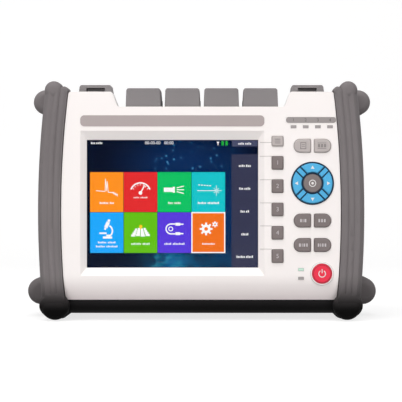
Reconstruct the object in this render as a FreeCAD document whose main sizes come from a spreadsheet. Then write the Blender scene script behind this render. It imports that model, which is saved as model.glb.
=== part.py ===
import FreeCAD, Part
import os
import re
import Sketcher

# Handheld optical time domain reflectometer, millimetres.
# The case stands upright: +Z up, the screen and keys face -Y, +X is to the user's right.
# The origin is the centre of the case in plan, on the surface that it stands on.

SIZES = {
    # whole case
    "overall_width": 253.0,        # across the lower corner lobes
    "overall_depth": 73.6,         # front to back of the rubber guards
    "face_setback": 2.0,           # front face behind the guards' front
    "back_setback": 1.3,           # back face in front of the guards' back
    "cover_depth": 18.0,           # front face to the parting plane
    # barrel-shaped sides
    "barrel_height": 75.8,         # height where the case is widest
    "barrel_radius": 682.0,
    "cover_half": 97.2,            # half width of the front cover at the widest
    "housing_over": 1.0,           # rear housing wider than the cover, each side
    "guard_gap": 0.3,              # rear housing to guard
    # front cover outline
    "cover_bottom": 14.2,
    "shoulder_top": 159.3,
    "notch_floor": 148.9,
    "notch_half": 58.0,            # half width of the notch floor
    "notch_slope": 4.0,            # how far its side leans outwards
    "belly_height": 32.2,          # where the face starts to curve back
    "belly_radius": 26.9,
    "belly_step": 24.3,            # below this the inside of the face steps back
    "belly_wall": 3.4,
    "cover_wall": 2.4,
    "face_wall": 2.4,
    "corner_round": 2.0,
    # screen and its recess
    "screen_left": -79.7,
    "screen_width": 119.5,
    "screen_bottom": 36.8,
    "screen_tall": 89.1,
    "bezel_side": 4.2,
    "bezel_below": 5.4,
    "bezel_above": 6.3,
    "bezel_deep": 3.4,
    "bezel_lip": 0.6,
    "frame_wall": 2.4,
    "glass_over": 3.0,             # glass hidden behind the frame, each side
    "glass_thick": 1.8,
    "gasket_thick": 0.8,
    "gasket_width": 2.4,
    "lcd_thick": 6.5,
    "bracket_thick": 1.0,
    # keys
    "key_rise": 1.2,
    "key_gap": 0.25,
    "key_travel": 0.8,
    "key_play": 0.05,
    "key_edge": 0.5,
    "flange_lip": 0.7,
    "flange_thick": 1.0,
    "stem_round": 1.6,
    "board_standoff": 4.9,         # inside of the face to the keypad board
    "board_thick": 1.6,
    "dome_tall": 1.4,
    "dome_round": 2.2,
    "soft_centre": 53.2,           # column of softkeys beside the screen
    "soft_width": 7.8,
    "soft_tall": 9.0,
    "soft_low": 45.0,
    "soft_pitch": 16.2,
    "menu_tall": 6.9,
    "menu_height": 124.9,
    "pair_centre": 77.45,          # column of paired keys, ring and power key
    "pair_inner": 1.2,             # half of the gap between paired keys
    "pair_width": 11.6,
    "pair_tall": 9.2,
    "pad_height": 121.7,
    "upper_row": 69.7,
    "lower_row": 52.7,
    "ring_height": 95.6,
    "ring_round": 14.9,
    "ring_rim": 0.75,
    "ring_proud": 0.4,
    "centre_round": 6.4,
    "web_width": 4.3,              # dark web under each spoke
    "web_inner": 0.8,              # dark ring round the centre key
    "spoke_width": 2.9,
    "spoke_rise": 0.6,
    "power_side": 84.1,
    "power_height": 32.8,
    "power_round": 6.8,
    "power_rim_round": 7.9,
    "power_rim_hole": 7.05,
    "power_rim_rise": 0.9,
    # indicator lights and label strips
    "light_wide": 3.9,
    "light_tall": 2.1,
    "light_proud": 0.2,
    "status_first": 64.3,
    "status_pitch": 8.45,
    "status_height": 134.9,
    "power_light_side": 69.5,
    "power_light_low": 29.6,
    "power_light_pitch": 6.1,
    "strip_inset": 0.3,
    "strip_thick": 0.5,
    "title_low": 135.2,
    "title_tall": 7.6,
    "title_round": 2.8,
    "legend_left": 59.1,
    "legend_width": 34.7,
    "legend_low": 137.6,
    "legend_tall": 4.0,
    # rubber guards
    "guard_width": 16.8,
    "guard_shadow": 0.5,           # dark gap between the cover and the guard
    "guard_bar_depth": 68.0,
    "rib_pitch": 4.2,
    "rib_high": 0.9,
    "rib_start": 0.9,
    "flank_pitch": 9.6,
    "flank_high": 0.8,
    "guard_round": 6.0,
    "guard_toe": 22.0,             # rounding of the guard's front towards the ground
    "top_lobe_side": 102.5,
    "top_lobe_height": 160.3,
    "top_lobe_round": 6.5,
    "top_lobe_depth": 16.0,
    "heel_lobe_drop": 2.4,         # the same lobe's lower rear part
    "heel_lobe_round": 5.6,
    "foot_lobe_side": 101.8,
    "foot_lobe_height": 10.6,
    "foot_lobe_round": 11.0,
    "ear_side": 95.0,
    "ear_height": 159.9,
    "ear_round": 3.0,
    "lobe_edge": 5.0,
    "upper_knob_side": 113.4,
    "upper_knob_height": 155.0,
    "upper_knob_round": 8.9,
    "lower_knob_height": 18.0,
    "lower_knob_round": 9.7,
    "knob_depth": 34.0,
    # rear housing
    "housing_bottom": 4.0,
    "housing_drop": 1.0,           # its shoulders below the cover's
    "housing_notch_over": 3.0,     # its notch wider than the cover's
    "housing_notch_drop": 0.6,
    "housing_wall": 2.5,
    "back_round": 4.0,
    "lip_gap": 0.3,
    "lip_reach": 9.8,              # lip forward of the parting plane
    "lip_half": 93.0,
    "seal_width": 1.2,
    "seal_thick": 0.8,
    "seal_gap": 0.1,
    # screws
    "boss_round": 3.6,
    "screw_round": 1.5,
    "screw_gap": 0.2,
    "screw_head_round": 2.75,
    "screw_head_tall": 2.4,
    "screw_grip": 9.0,
    "screw_floor": 6.0,            # web under a screw head, from the parting plane
    "corner_screw_side": 88.6,
    "corner_screw_top": 150.2,
    "corner_screw_low": 20.4,
    "middle_screw_side": 30.0,
    # ports and their caps
    "port_row_centre": 0.5,
    "cap_pitch": 27.3,
    "cap_width": 24.8,
    "cap_top_width": 23.9,
    "cap_front_step": 5.5,         # cap front behind the front face
    "cap_depth": 25.2,             # cap front to its hinge
    "cap_tall": 13.1,
    "cap_lift": 0.3,
    "cap_wall": 1.8,
    "cap_round": 1.8,
    "hinge_high": 3.3,             # hinge above the notch floor
    "barrel_round": 2.8,
    "rod_round": 1.0,
    "rod_gap": 0.06,
    "pin_inset": 0.6,              # pin end inside the cap's side
    "knuckle_width": 8.0,          # of the plate, between the cap's two barrels
    "knuckle_gap": 0.3,
    "knuckle_room": 0.5,
    "plate_thick": 3.0,
    "plate_drop": 0.3,
    "plate_step": 3.8,             # plate front edge behind the front face
    "plate_depth": 34.0,
    "plate_half": 58.6,
    "port_step": 16.8,             # fibre ports behind the front face
    "adapter_round": 4.6,
    "adapter_below": 6.6,
    "adapter_flange": 11.0,
    "adapter_flange_thick": 1.5,
    "thread_round": 4.0,
    "thread_tall": 6.9,
    "ferrule_bore": 1.255,
    "ferrule_deep": 13.0,
    "sleeve_round": 2.1,
    "sleeve_well": 3.1,
    "sleeve_well_deep": 5.0,
    "usb_wide": 14.2,
    "usb_deep": 7.2,
    "usb_shell": 0.5,
    "usb_tongue": 1.8,
    "usb_step": 12.4,
    "usb_below": 11.0,
    "power_jack_round": 4.4,
    "power_jack_bore": 2.8,
    "power_jack_pin": 1.0,
    "power_jack_step": 21.8,
    "power_jack_below": 9.0,
    "power_jack_deep": 9.5,
    # strap lugs
    "strap_lug_side": 75.2,
    "lug_wide": 24.4,
    "lug_tall": 6.4,
    "lug_deep": 12.0,
    "lug_step": 20.0,              # lug front behind the front face
    "lug_corner": 2.2,
    "strap_slot_wide": 13.2,
    "strap_slot_low": 3.5,         # sill of the slot above the lug's foot
    "strap_slot_tall": 1.8,
    "strap_ramp_deep": 5.0,
    "strap_ramp_fall": 1.6,
    # inner parts
    "main_board_gap": 6.7,         # bracket to main board
    "main_board_half": 85.0,
    "main_board_low": 26.0,
    "main_board_tall": 106.0,
    "post_round": 2.6,
    "post_side": 58.0,
    "post_low": 40.0,
    "post_pitch": 84.0,
    "bracket_boss_round": 3.0,
    "module_half": 48.0,
    "module_low": 92.0,
    "module_tall": 40.0,
    "module_deep": 18.0,
    # battery
    "bay_half": 40.0,
    "bay_low": 94.0,
    "bay_tall": 46.0,
    "bay_deep": 20.0,
    "bay_wall": 2.0,
    "bay_gap": 0.5,
    "door_thick": 2.2,
    "door_over": 3.0,
    "door_gap": 0.25,
    "door_screw_side": 30.0,
    "door_screw_drop": 3.2,
    # folding stand
    "stand_half": 40.0,
    "stand_low": 22.0,
    "stand_pivot": 82.0,
    "stand_thick": 3.0,
    "stand_barrel": 2.2,
    "stand_gap": 0.5,
    "stand_recess": 5.2,
    "stand_pin_round": 1.2,
    "stand_pin_grip": 5.0,
    "finger_half": 12.0,
}

document = FreeCAD.newDocument("reflectometer")
sheet = document.addObject("Spreadsheet::Sheet", "Sizes")
for row, (alias, number) in enumerate(SIZES.items(), start=1):
    sheet.set("A%d" % row, alias)
    sheet.set("B%d" % row, str(number))
    sheet.setAlias("B%d" % row, alias)
document.recompute()

# Planes of the case along Y, written as sheet expressions
FACE = "(face_setback - overall_depth / 2)"
INSIDE = f"({FACE} + face_wall)"
PARTING = f"({FACE} + cover_depth)"
BACK = "(overall_depth / 2 - back_setback)"
BOARD = f"({INSIDE} + board_standoff)"
GLASS = f"({FACE} + bezel_deep + bezel_lip)"
GASKET = f"({GLASS} + glass_thick)"
LCD = f"({GASKET} + gasket_thick)"
BRACKET = f"({LCD} + lcd_thick)"
MAIN_BOARD = f"({BRACKET} + bracket_thick + main_board_gap)"
PLATE_TOP = "(notch_floor - plate_drop)"
CAP_FRONT = f"({FACE} + cap_front_step)"
HINGE_Y = f"({CAP_FRONT} + cap_depth)"
HINGE_Z = "(notch_floor + hinge_high)"
STAND_Y = f"({BACK} - stand_recess / 2)"
SCREEN_RIGHT = "(screen_left + screen_width)"
SCREEN_TOP = "(screen_bottom + screen_tall)"

nodes = {}


# ---------------------------------------------------------------- helpers

def bind(text):
    """Turn plain size names into references to the sheet."""
    return re.sub(r"[a-z_]+", lambda word: "Sizes." * (word.group() in SIZES) + word.group(), text)


def value(text):
    """Number that an expression gives with the sheet's present sizes."""
    return float(sheet.evalExpression(bind(text)))


def new_body(label):
    body = document.addObject("PartDesign::Body", label)
    body.Label = label
    return body


def keep(label, item):
    """Name a finished sub-part, which becomes a node of its own."""
    item.Label = label
    nodes[label] = item
    return item


def sketch_on(body, role, offset):
    """Sketch on one of the body's own planes; offset runs along the plane's normal."""
    sketch = body.newObject("Sketcher::SketchObject", body.Label + "_sketch")
    support = next(item for item in body.Origin.OriginFeatures if item.Role == role)
    sketch.AttachmentSupport = (support, [""])
    sketch.MapMode = "FlatFace"
    sketch.setExpression("AttachmentOffset.Base.z", bind(offset))
    return sketch


def front_sketch(body, depth):
    """Sketch in X and Z at Y = depth, facing the user."""
    return sketch_on(body, "XZ_Plane", f"-({depth})")


def plan_sketch(body, height):
    return sketch_on(body, "XY_Plane", height)


def side_sketch(body, side="0"):
    """Sketch in Y and Z at X = side."""
    return sketch_on(body, "YZ_Plane", side)


def constrain(sketch, plain, bound=()):
    """Add the plain constraints, then dimensions (kind, items, text) bound to the sheet."""
    dimensions = [Sketcher.Constraint(kind, *items, value(text)) for kind, items, text in bound]
    first = sketch.ConstraintCount + len(plain)
    sketch.addConstraint(list(plain) + dimensions)
    for number, (_, _, text) in enumerate(bound):
        sketch.setExpression("Constraints[%d]" % (first + number), bind(text))


def pinned(edge, point, x, y):
    """Dimensions that hold one point of an edge at x, y."""
    return [("DistanceX", (-1, 1, edge, point), x), ("DistanceY", (-1, 1, edge, point), y)]


def outline(sketch, corners):
    """Closed loop, counterclockwise, through corners (x, y) or (x, y, radius).

    A radius makes the edge to the next corner an arc; it is (text, 1) where the arc
    bulges outwards and (text, -1) where it is hollow.
    """
    places = [FreeCAD.Vector(value(corner[0]), value(corner[1]), 0) for corner in corners]
    shapes, ends, bound = [], [], []
    first_edge = sketch.GeometryCount
    for index, corner in enumerate(corners):
        edge = first_edge + index
        start, stop = places[index], places[(index + 1) % len(corners)]
        if len(corner) == 2:
            shapes.append(Part.LineSegment(start, stop))
            ends.append((edge, 1, 2))
            continue
        text, turn = corner[2]
        radius = value(text)
        chord = stop - start
        left = FreeCAD.Vector(-chord.y, chord.x, 0).normalize()
        centre = (start + stop) * 0.5 + left * turn * max(radius ** 2 - chord.Length ** 2 / 4, 0) ** 0.5
        low, high = (start, stop) if turn > 0 else (stop, start)
        ring = Part.Circle(centre, FreeCAD.Vector(0, 0, 1), radius)
        shapes.append(Part.ArcOfCircle(ring, ring.parameter(low), ring.parameter(high)))
        ends.append((edge, 1, 2) if turn > 0 else (edge, 2, 1))
        bound.append(("Radius", (edge,), text))
    joined = []
    for index, corner in enumerate(corners):
        edge, start, _ = ends[index]
        before, _, stop = ends[index - 1]
        joined.append(Sketcher.Constraint("Coincident", before, stop, edge, start))
        bound += pinned(edge, start, corner[0], corner[1])
    sketch.addGeometry(shapes, False)
    constrain(sketch, joined, bound)


def rectangle(sketch, left, right, low, high):
    outline(sketch, [(left, low), (right, low), (right, high), (left, high)])


def rounded_rectangle(sketch, left, right, low, high, left_round, right_round):
    """Rectangle whose two left and two right corners have their own radii."""
    outline(sketch, [
        (f"{left} + {left_round}", low), (f"{right} - {right_round}", low, (right_round, 1)),
        (right, f"{low} + {right_round}"), (right, f"{high} - {right_round}", (right_round, 1)),
        (f"{right} - {right_round}", high), (f"{left} + {left_round}", high, (left_round, 1)),
        (left, f"{high} - {left_round}"), (left, f"{low} + {left_round}", (left_round, 1)),
    ])


def circle(sketch, x, y, radius):
    place = FreeCAD.Vector(value(x), value(y), 0)
    edge = sketch.addGeometry(Part.Circle(place, FreeCAD.Vector(0, 0, 1), value(radius)), False)
    constrain(sketch, [], pinned(edge, 3, x, y) + [("Radius", (edge,), radius)])


def axis_along_y(sketch, x):
    """Construction line along the sketch's second axis, for a revolution; gives its name."""
    ends = [FreeCAD.Vector(value(x), value(y), 0) for y in ("guard_gap", "guard_width")]
    line = sketch.addGeometry(Part.LineSegment(*ends), True)
    constrain(sketch, [Sketcher.Constraint("Vertical", line)],
              pinned(line, 1, x, "guard_gap")
              + [("DistanceY", (line, 1, line, 2), "guard_width - guard_gap")])
    return "Axis0"


def extrude(body, sketch, length, kind="Pad", reverse=False, middle=False):
    """Pad along the sketch's normal, or Pocket against it; middle goes both ways."""
    feature = body.newObject("PartDesign::" + kind, body.Label + "_" + kind.lower())
    feature.Profile = sketch
    feature.setExpression("Length", bind(length))
    feature.Reversed = reverse
    if middle:
        feature.SideType = "Symmetric"
    return feature


def cut(body, sketch, length, reverse=False, middle=False):
    """Pocket that must take material away."""
    document.recompute()
    before = body.Shape.Volume
    feature = extrude(body, sketch, length, "Pocket", reverse, middle)
    document.recompute()
    if not body.Shape.Volume < before:
        raise RuntimeError(body.Label + ": a pocket cuts nothing")
    return feature


def dress(body, kind, size, chosen):
    """Fillet or Chamfer on the edges of the body that chosen accepts."""
    document.recompute()
    base = body.Tip
    names = ["Edge%d" % (number + 1) for number, edge in enumerate(base.Shape.Edges) if chosen(edge)]
    feature = body.newObject("PartDesign::" + kind, body.Label + "_" + kind.lower())
    feature.Base = (base, names)
    feature.setExpression("Radius" if kind == "Fillet" else "Size", bind(size))
    document.recompute()
    return feature


def lies_at(edge, axis, place):
    """Whether a whole edge lies on the plane axis = place."""
    box = edge.BoundBox
    low, high = {"x": (box.XMin, box.XMax), "y": (box.YMin, box.YMax), "z": (box.ZMin, box.ZMax)}[axis]
    return abs(low - place) < 0.01 and abs(high - place) < 0.01


def along_y(edge):
    box = edge.BoundBox
    return box.XLength < 0.01 and box.ZLength < 0.01


def primitive(kind, label, sizes, place, turn=None):
    """Part primitive bound to the sheet, at place (x, y, z), turned about an axis."""
    item = document.addObject("Part::" + kind, label)
    for name, text in sizes.items():
        item.setExpression(name, bind(text))
    if turn:
        item.Placement = FreeCAD.Placement(FreeCAD.Vector(), FreeCAD.Rotation(*turn))
    for name, text in zip("xyz", place):
        item.setExpression("Placement.Base." + name, bind(text))
    return item


def rod_along_y(label, radius, length, place):
    """Cylinder from place towards +Y."""
    turn = (FreeCAD.Vector(1, 0, 0), -90)
    return primitive("Cylinder", label, {"Radius": radius, "Height": length}, place, turn)


def group(label, items):
    """Separate solids that share one node."""
    compound = document.addObject("Part::Compound", label)
    compound.Links = items
    return keep(label, compound)


def barrel(half, height):
    """Half width at a height of the barrel side whose widest half width is half."""
    radius = f"(barrel_radius + {half} - cover_half)"
    return f"({half} - {radius} + sqrt({radius}^2 - ({height} - barrel_height)^2))"


def barrel_arc(half):
    return f"(barrel_radius + {half} - cover_half)"


# ---------------------------------------------------------------- case outline

COVER = {"half": "cover_half", "low": "cover_bottom", "high": "shoulder_top",
         "floor": "notch_floor", "notch": "notch_half"}
HOUSING = {"half": "(cover_half + housing_over)", "low": "housing_bottom",
           "high": "(shoulder_top - housing_drop)", "floor": "(notch_floor - housing_notch_drop)",
           "notch": "(notch_half + housing_notch_over)"}


def case_outline(sketch, shape, inset="0"):
    """Front view of the case: barrel sides and a notch between two shoulders."""
    half = f"({shape['half']} - {inset})"
    low = f"({shape['low']} + {inset})"
    high = f"({shape['high']} - {inset})"
    floor = f"({shape['floor']} - {inset})"
    notch = f"({shape['notch']} + {inset})"
    outer = f"({notch} + notch_slope)"
    arc = (barrel_arc(half), 1)
    outline(sketch, [
        (f"-{barrel(half, low)}", low),
        (barrel(half, low), low, arc),
        (barrel(half, high), high),
        (outer, high),
        (notch, floor),
        (f"-{notch}", floor),
        (f"-{outer}", high),
        (f"-{barrel(half, high)}", high, arc),
    ])


SCREW_PLACES = [
    ("corner_screw_side", "corner_screw_top"), ("-corner_screw_side", "corner_screw_top"),
    ("corner_screw_side", "corner_screw_low"), ("-corner_screw_side", "corner_screw_low"),
    ("middle_screw_side", "corner_screw_low"), ("-middle_screw_side", "corner_screw_low"),
]
BRACKET_PLACES = [
    (x, z)
    for x in (f"(screen_left + bracket_boss_round * 6)", f"({SCREEN_RIGHT} - bracket_boss_round * 6)")
    for z in ("(screen_bottom - glass_over - bracket_boss_round * 2)",
              f"({SCREEN_TOP} + glass_over + bracket_boss_round * 2)")
]
BOARD_LEFT = "(soft_centre - soft_width / 2 - flange_lip - 1)"
BOARD_RIGHT = "(pair_centre + ring_round)"
BOARD_LOW = "(power_height - power_round)"
BOARD_HIGH = "(menu_height + menu_tall / 2 + flange_lip + 2 * stem_round + 0.6)"
KEYPAD_POSTS = [
    (f"({BOARD_LEFT} + stem_round)", f"({BOARD_LOW} + stem_round)"),
    (f"({BOARD_LEFT} + stem_round)", f"({BOARD_HIGH} - stem_round)"),
    (f"({BOARD_RIGHT} - stem_round)", "(power_height + power_round + stem_round)"),
    (f"({BOARD_RIGHT} - stem_round)", f"({BOARD_HIGH} - stem_round)"),
]


# ---------------------------------------------------------------- keys

def soft_box(height, tall):
    return ("soft_centre - soft_width / 2", "soft_centre + soft_width / 2",
            f"{height} - {tall} / 2", f"{height} + {tall} / 2", "0.6", "0.6")


def pair_box(side, height):
    """Key whose outer side, left (-1) or right (1), is rounded."""
    low, high = f"{height} - pair_tall / 2", f"{height} + pair_tall / 2"
    if side < 0:
        return ("pair_centre - pair_inner - pair_width", "pair_centre - pair_inner", low, high,
                "(pair_tall / 2 - 0.3)", "0.8")
    return ("pair_centre + pair_inner", "pair_centre + pair_inner + pair_width", low, high,
            "0.8", "(pair_tall / 2 - 0.3)")


BOX_KEYS = {"menu_key": soft_box("menu_height", "menu_tall")}
for number in range(5):
    BOX_KEYS["soft_key_%d" % (number + 1)] = soft_box(f"(soft_low + {4 - number} * soft_pitch)", "soft_tall")
BOX_KEYS["pad_key_left"] = pair_box(-1, "pad_height")
BOX_KEYS["pad_key_right"] = pair_box(1, "pad_height")
for number, (side, height) in enumerate([(-1, "upper_row"), (1, "upper_row"),
                                         (-1, "lower_row"), (1, "lower_row")]):
    BOX_KEYS["function_key_%d" % (number + 1)] = pair_box(side, height)

# Each arrow's outline is drawn pointing up and turned by its own rule.
TURNS = {
    "up": lambda x, z: (x, z),
    "right": lambda x, z: (z, f"-{x}"),
    "down": lambda x, z: (f"-{x}", f"-{z}"),
    "left": lambda x, z: (f"-{z}", x),
}


def draw_box(sketch, box, grow):
    left, right, low, high, left_round, right_round = box
    rounded_rectangle(sketch, f"({left} - {grow})", f"({right} + {grow})",
                      f"({low} - {grow})", f"({high} + {grow})",
                      f"({left_round} + {grow})", f"({right_round} + {grow})")


def draw_arrow(sketch, direction, grow):
    """Ring segment between two webs that run at 45 degrees."""
    inner = f"(centre_round + key_gap + web_inner + key_gap - {grow})"
    outer = f"(ring_round - ring_rim - key_gap + {grow})"
    away = f"(web_width / 2 + key_gap - {grow})"

    def corner(radius, mirror):
        reach = f"sqrt({radius}^2 - {away}^2)"
        x = f"({mirror} * ({reach} - {away}) / sqrt(2))"
        z = f"(({reach} + {away}) / sqrt(2))"
        x, z = TURNS[direction](x, z)
        return f"pair_centre + {x}", f"ring_height + {z}"

    outline(sketch, [
        corner(inner, 1), (*corner(outer, 1), (outer, 1)),
        corner(outer, -1), (*corner(inner, -1), (inner, -1)),
    ])


def key_stem(body, x, z, flange_back, length):
    stem = front_sketch(body, flange_back)
    circle(stem, x, z, "stem_round")
    extrude(body, stem, length, reverse=True)


def key_body(label, draw, middle, seat, front, flange_grow):
    """Key cap through the face, a flange behind it and a stem to its dome switch.

    seat is the plane that the flange bears on, front the plane of the key's top.
    """
    body = new_body(label)
    cap = front_sketch(body, seat)
    draw(cap, "0")
    extrude(body, cap, f"{seat} - {front}")
    dress(body, "Chamfer", "key_edge", lambda edge: lies_at(edge, "y", value(front)))
    flange = front_sketch(body, f"({seat} + flange_thick)")
    draw(flange, flange_grow)
    extrude(body, flange, "flange_thick")
    key_stem(body, *middle, f"({seat} + flange_thick)",
             f"{BOARD} - dome_tall - key_travel - key_play - {seat} - flange_thick")
    return keep(label, body)


NAV_SEAT = f"({INSIDE} + flange_thick)"
POWER_LIP = "(flange_lip + key_gap)"
KEY_FRONT = f"({FACE} - key_rise)"
stem_places = []


def make_keys():
    for label, box in BOX_KEYS.items():
        middle = (f"({box[0]} + {box[1]}) / 2", f"({box[2]} + {box[3]}) / 2")
        key_body(label, lambda sketch, grow, box=box: draw_box(sketch, box, grow),
                 middle, INSIDE, KEY_FRONT, "flange_lip")
        stem_places.append(middle)
    arm = "((centre_round + ring_round) / 2)"
    for direction, turn in TURNS.items():
        x, z = turn("0", arm)
        middle = (f"pair_centre + {x}", f"ring_height + {z}")
        key_body("arrow_key_" + direction,
                 lambda sketch, grow, way=direction: draw_arrow(sketch, way, grow),
                 middle, NAV_SEAT, KEY_FRONT, "(key_gap + 0.2)")
        stem_places.append(middle)
    round_keys = {
        "centre_key": ("pair_centre", "ring_height", "centre_round", NAV_SEAT, "(key_gap + 0.25)"),
        "power_key": ("power_side", "power_height", "power_round", INSIDE, POWER_LIP),
    }
    for label, (x, z, radius, seat, lip) in round_keys.items():
        key_body(label,
                 lambda sketch, grow, x=x, z=z, r=radius: circle(sketch, x, z, f"{r} + {grow}"),
                 (x, z), seat, KEY_FRONT, lip)
        stem_places.append((x, z))


def make_keypad():
    """Keypad board with a dome switch under every stem."""
    body = new_body("keypad_board")
    plate = front_sketch(body, f"({BOARD} + board_thick)")
    rectangle(plate, BOARD_LEFT, BOARD_RIGHT, BOARD_LOW, BOARD_HIGH)
    extrude(body, plate, "board_thick")
    keep("keypad_board", body)
    domes = []
    for number, (x, z) in enumerate(stem_places):
        domes.append(rod_along_y("dome_%d" % number, "dome_round", "dome_tall",
                                 (x, f"{BOARD} - dome_tall", z)))
    group("dome_switches", domes)


# ---------------------------------------------------------------- ring of arrows and power rim

def make_ring():
    body = new_body("nav_base")
    disc = front_sketch(body, INSIDE)
    circle(disc, "pair_centre", "ring_height", "ring_round")
    extrude(body, disc, f"{INSIDE} - {FACE} + ring_proud")
    flange = front_sketch(body, NAV_SEAT)
    circle(flange, "pair_centre", "ring_height", "ring_round + key_gap + flange_lip")
    extrude(body, flange, "flange_thick")
    for direction in TURNS:
        window = front_sketch(body, f"({FACE} - ring_proud)")
        draw_arrow(window, direction, "key_gap")
        cut(body, window, "face_wall + ring_proud + flange_thick + 1")
    hole = front_sketch(body, f"({FACE} - ring_proud)")
    circle(hole, "pair_centre", "ring_height", "centre_round + key_gap")
    cut(body, hole, "face_wall + ring_proud + flange_thick + 1")
    keep("nav_base", body)

    spokes = []
    inner = "(centre_round + 2 * key_gap + web_inner)"
    outer = "(ring_round - ring_rim - key_gap)"
    for number, (right, up) in enumerate([(1, 1), (-1, 1), (-1, -1), (1, -1)]):
        angle = -(45 + 90 * number)
        x = f"pair_centre + ({right} * {inner} + {up} * spoke_width / 2) / sqrt(2)"
        z = f"ring_height + ({up} * {inner} - {right} * spoke_width / 2) / sqrt(2)"
        spokes.append(primitive(
            "Box", "spoke_%d" % number,
            {"Length": f"{outer} - {inner}", "Width": "spoke_rise", "Height": "spoke_width"},
            (x, f"{FACE} - ring_proud - spoke_rise", z), (FreeCAD.Vector(0, 1, 0), angle)))
    group("nav_spokes", spokes)

    rim = new_body("power_ring")
    sleeve = front_sketch(rim, INSIDE)
    circle(sleeve, "power_side", "power_height", "(power_rim_round + power_rim_hole) / 2")
    circle(sleeve, "power_side", "power_height", "power_rim_hole")
    extrude(rim, sleeve, f"{INSIDE} - {FACE}")
    collar = front_sketch(rim, FACE)
    circle(collar, "power_side", "power_height", "power_rim_round")
    circle(collar, "power_side", "power_height", "power_rim_hole")
    extrude(rim, collar, "power_rim_rise")
    dress(rim, "Fillet", "power_rim_rise * 0.4",
          lambda edge: lies_at(edge, "y", value(f"{FACE} - power_rim_rise")))
    keep("power_ring", rim)


# ---------------------------------------------------------------- front cover

STATUS_LIGHTS = [(f"(status_first + {number} * status_pitch)", "status_height") for number in range(4)]
POWER_LIGHTS = [("power_light_side", f"(power_light_low + {number} * power_light_pitch)")
                for number in range(2)]


def draw_light(sketch, x, z, grow="0"):
    rectangle(sketch, f"({x} - light_wide / 2 - {grow})", f"({x} + light_wide / 2 + {grow})",
              f"({z} - light_tall / 2 - {grow})", f"({z} + light_tall / 2 + {grow})")


def draw_screen(sketch, grow="0"):
    rectangle(sketch, f"(screen_left - {grow})", f"({SCREEN_RIGHT} + {grow})",
              f"(screen_bottom - {grow})", f"({SCREEN_TOP} + {grow})")


def draw_bezel(sketch, grow="0"):
    rectangle(sketch, f"(screen_left - bezel_side - {grow})", f"({SCREEN_RIGHT} + bezel_side + {grow})",
              f"(screen_bottom - bezel_below - {grow})", f"({SCREEN_TOP} + bezel_above + {grow})")


STRIPS = {
    "title_strip": ("screen_left - bezel_side", f"{SCREEN_RIGHT} + bezel_side",
                    "title_low", "title_low + title_tall", "title_round", "title_round"),
    "status_strip": ("legend_left", "legend_left + legend_width",
                     "legend_low", "legend_low + legend_tall", "0.6", "0.6"),
}


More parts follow.
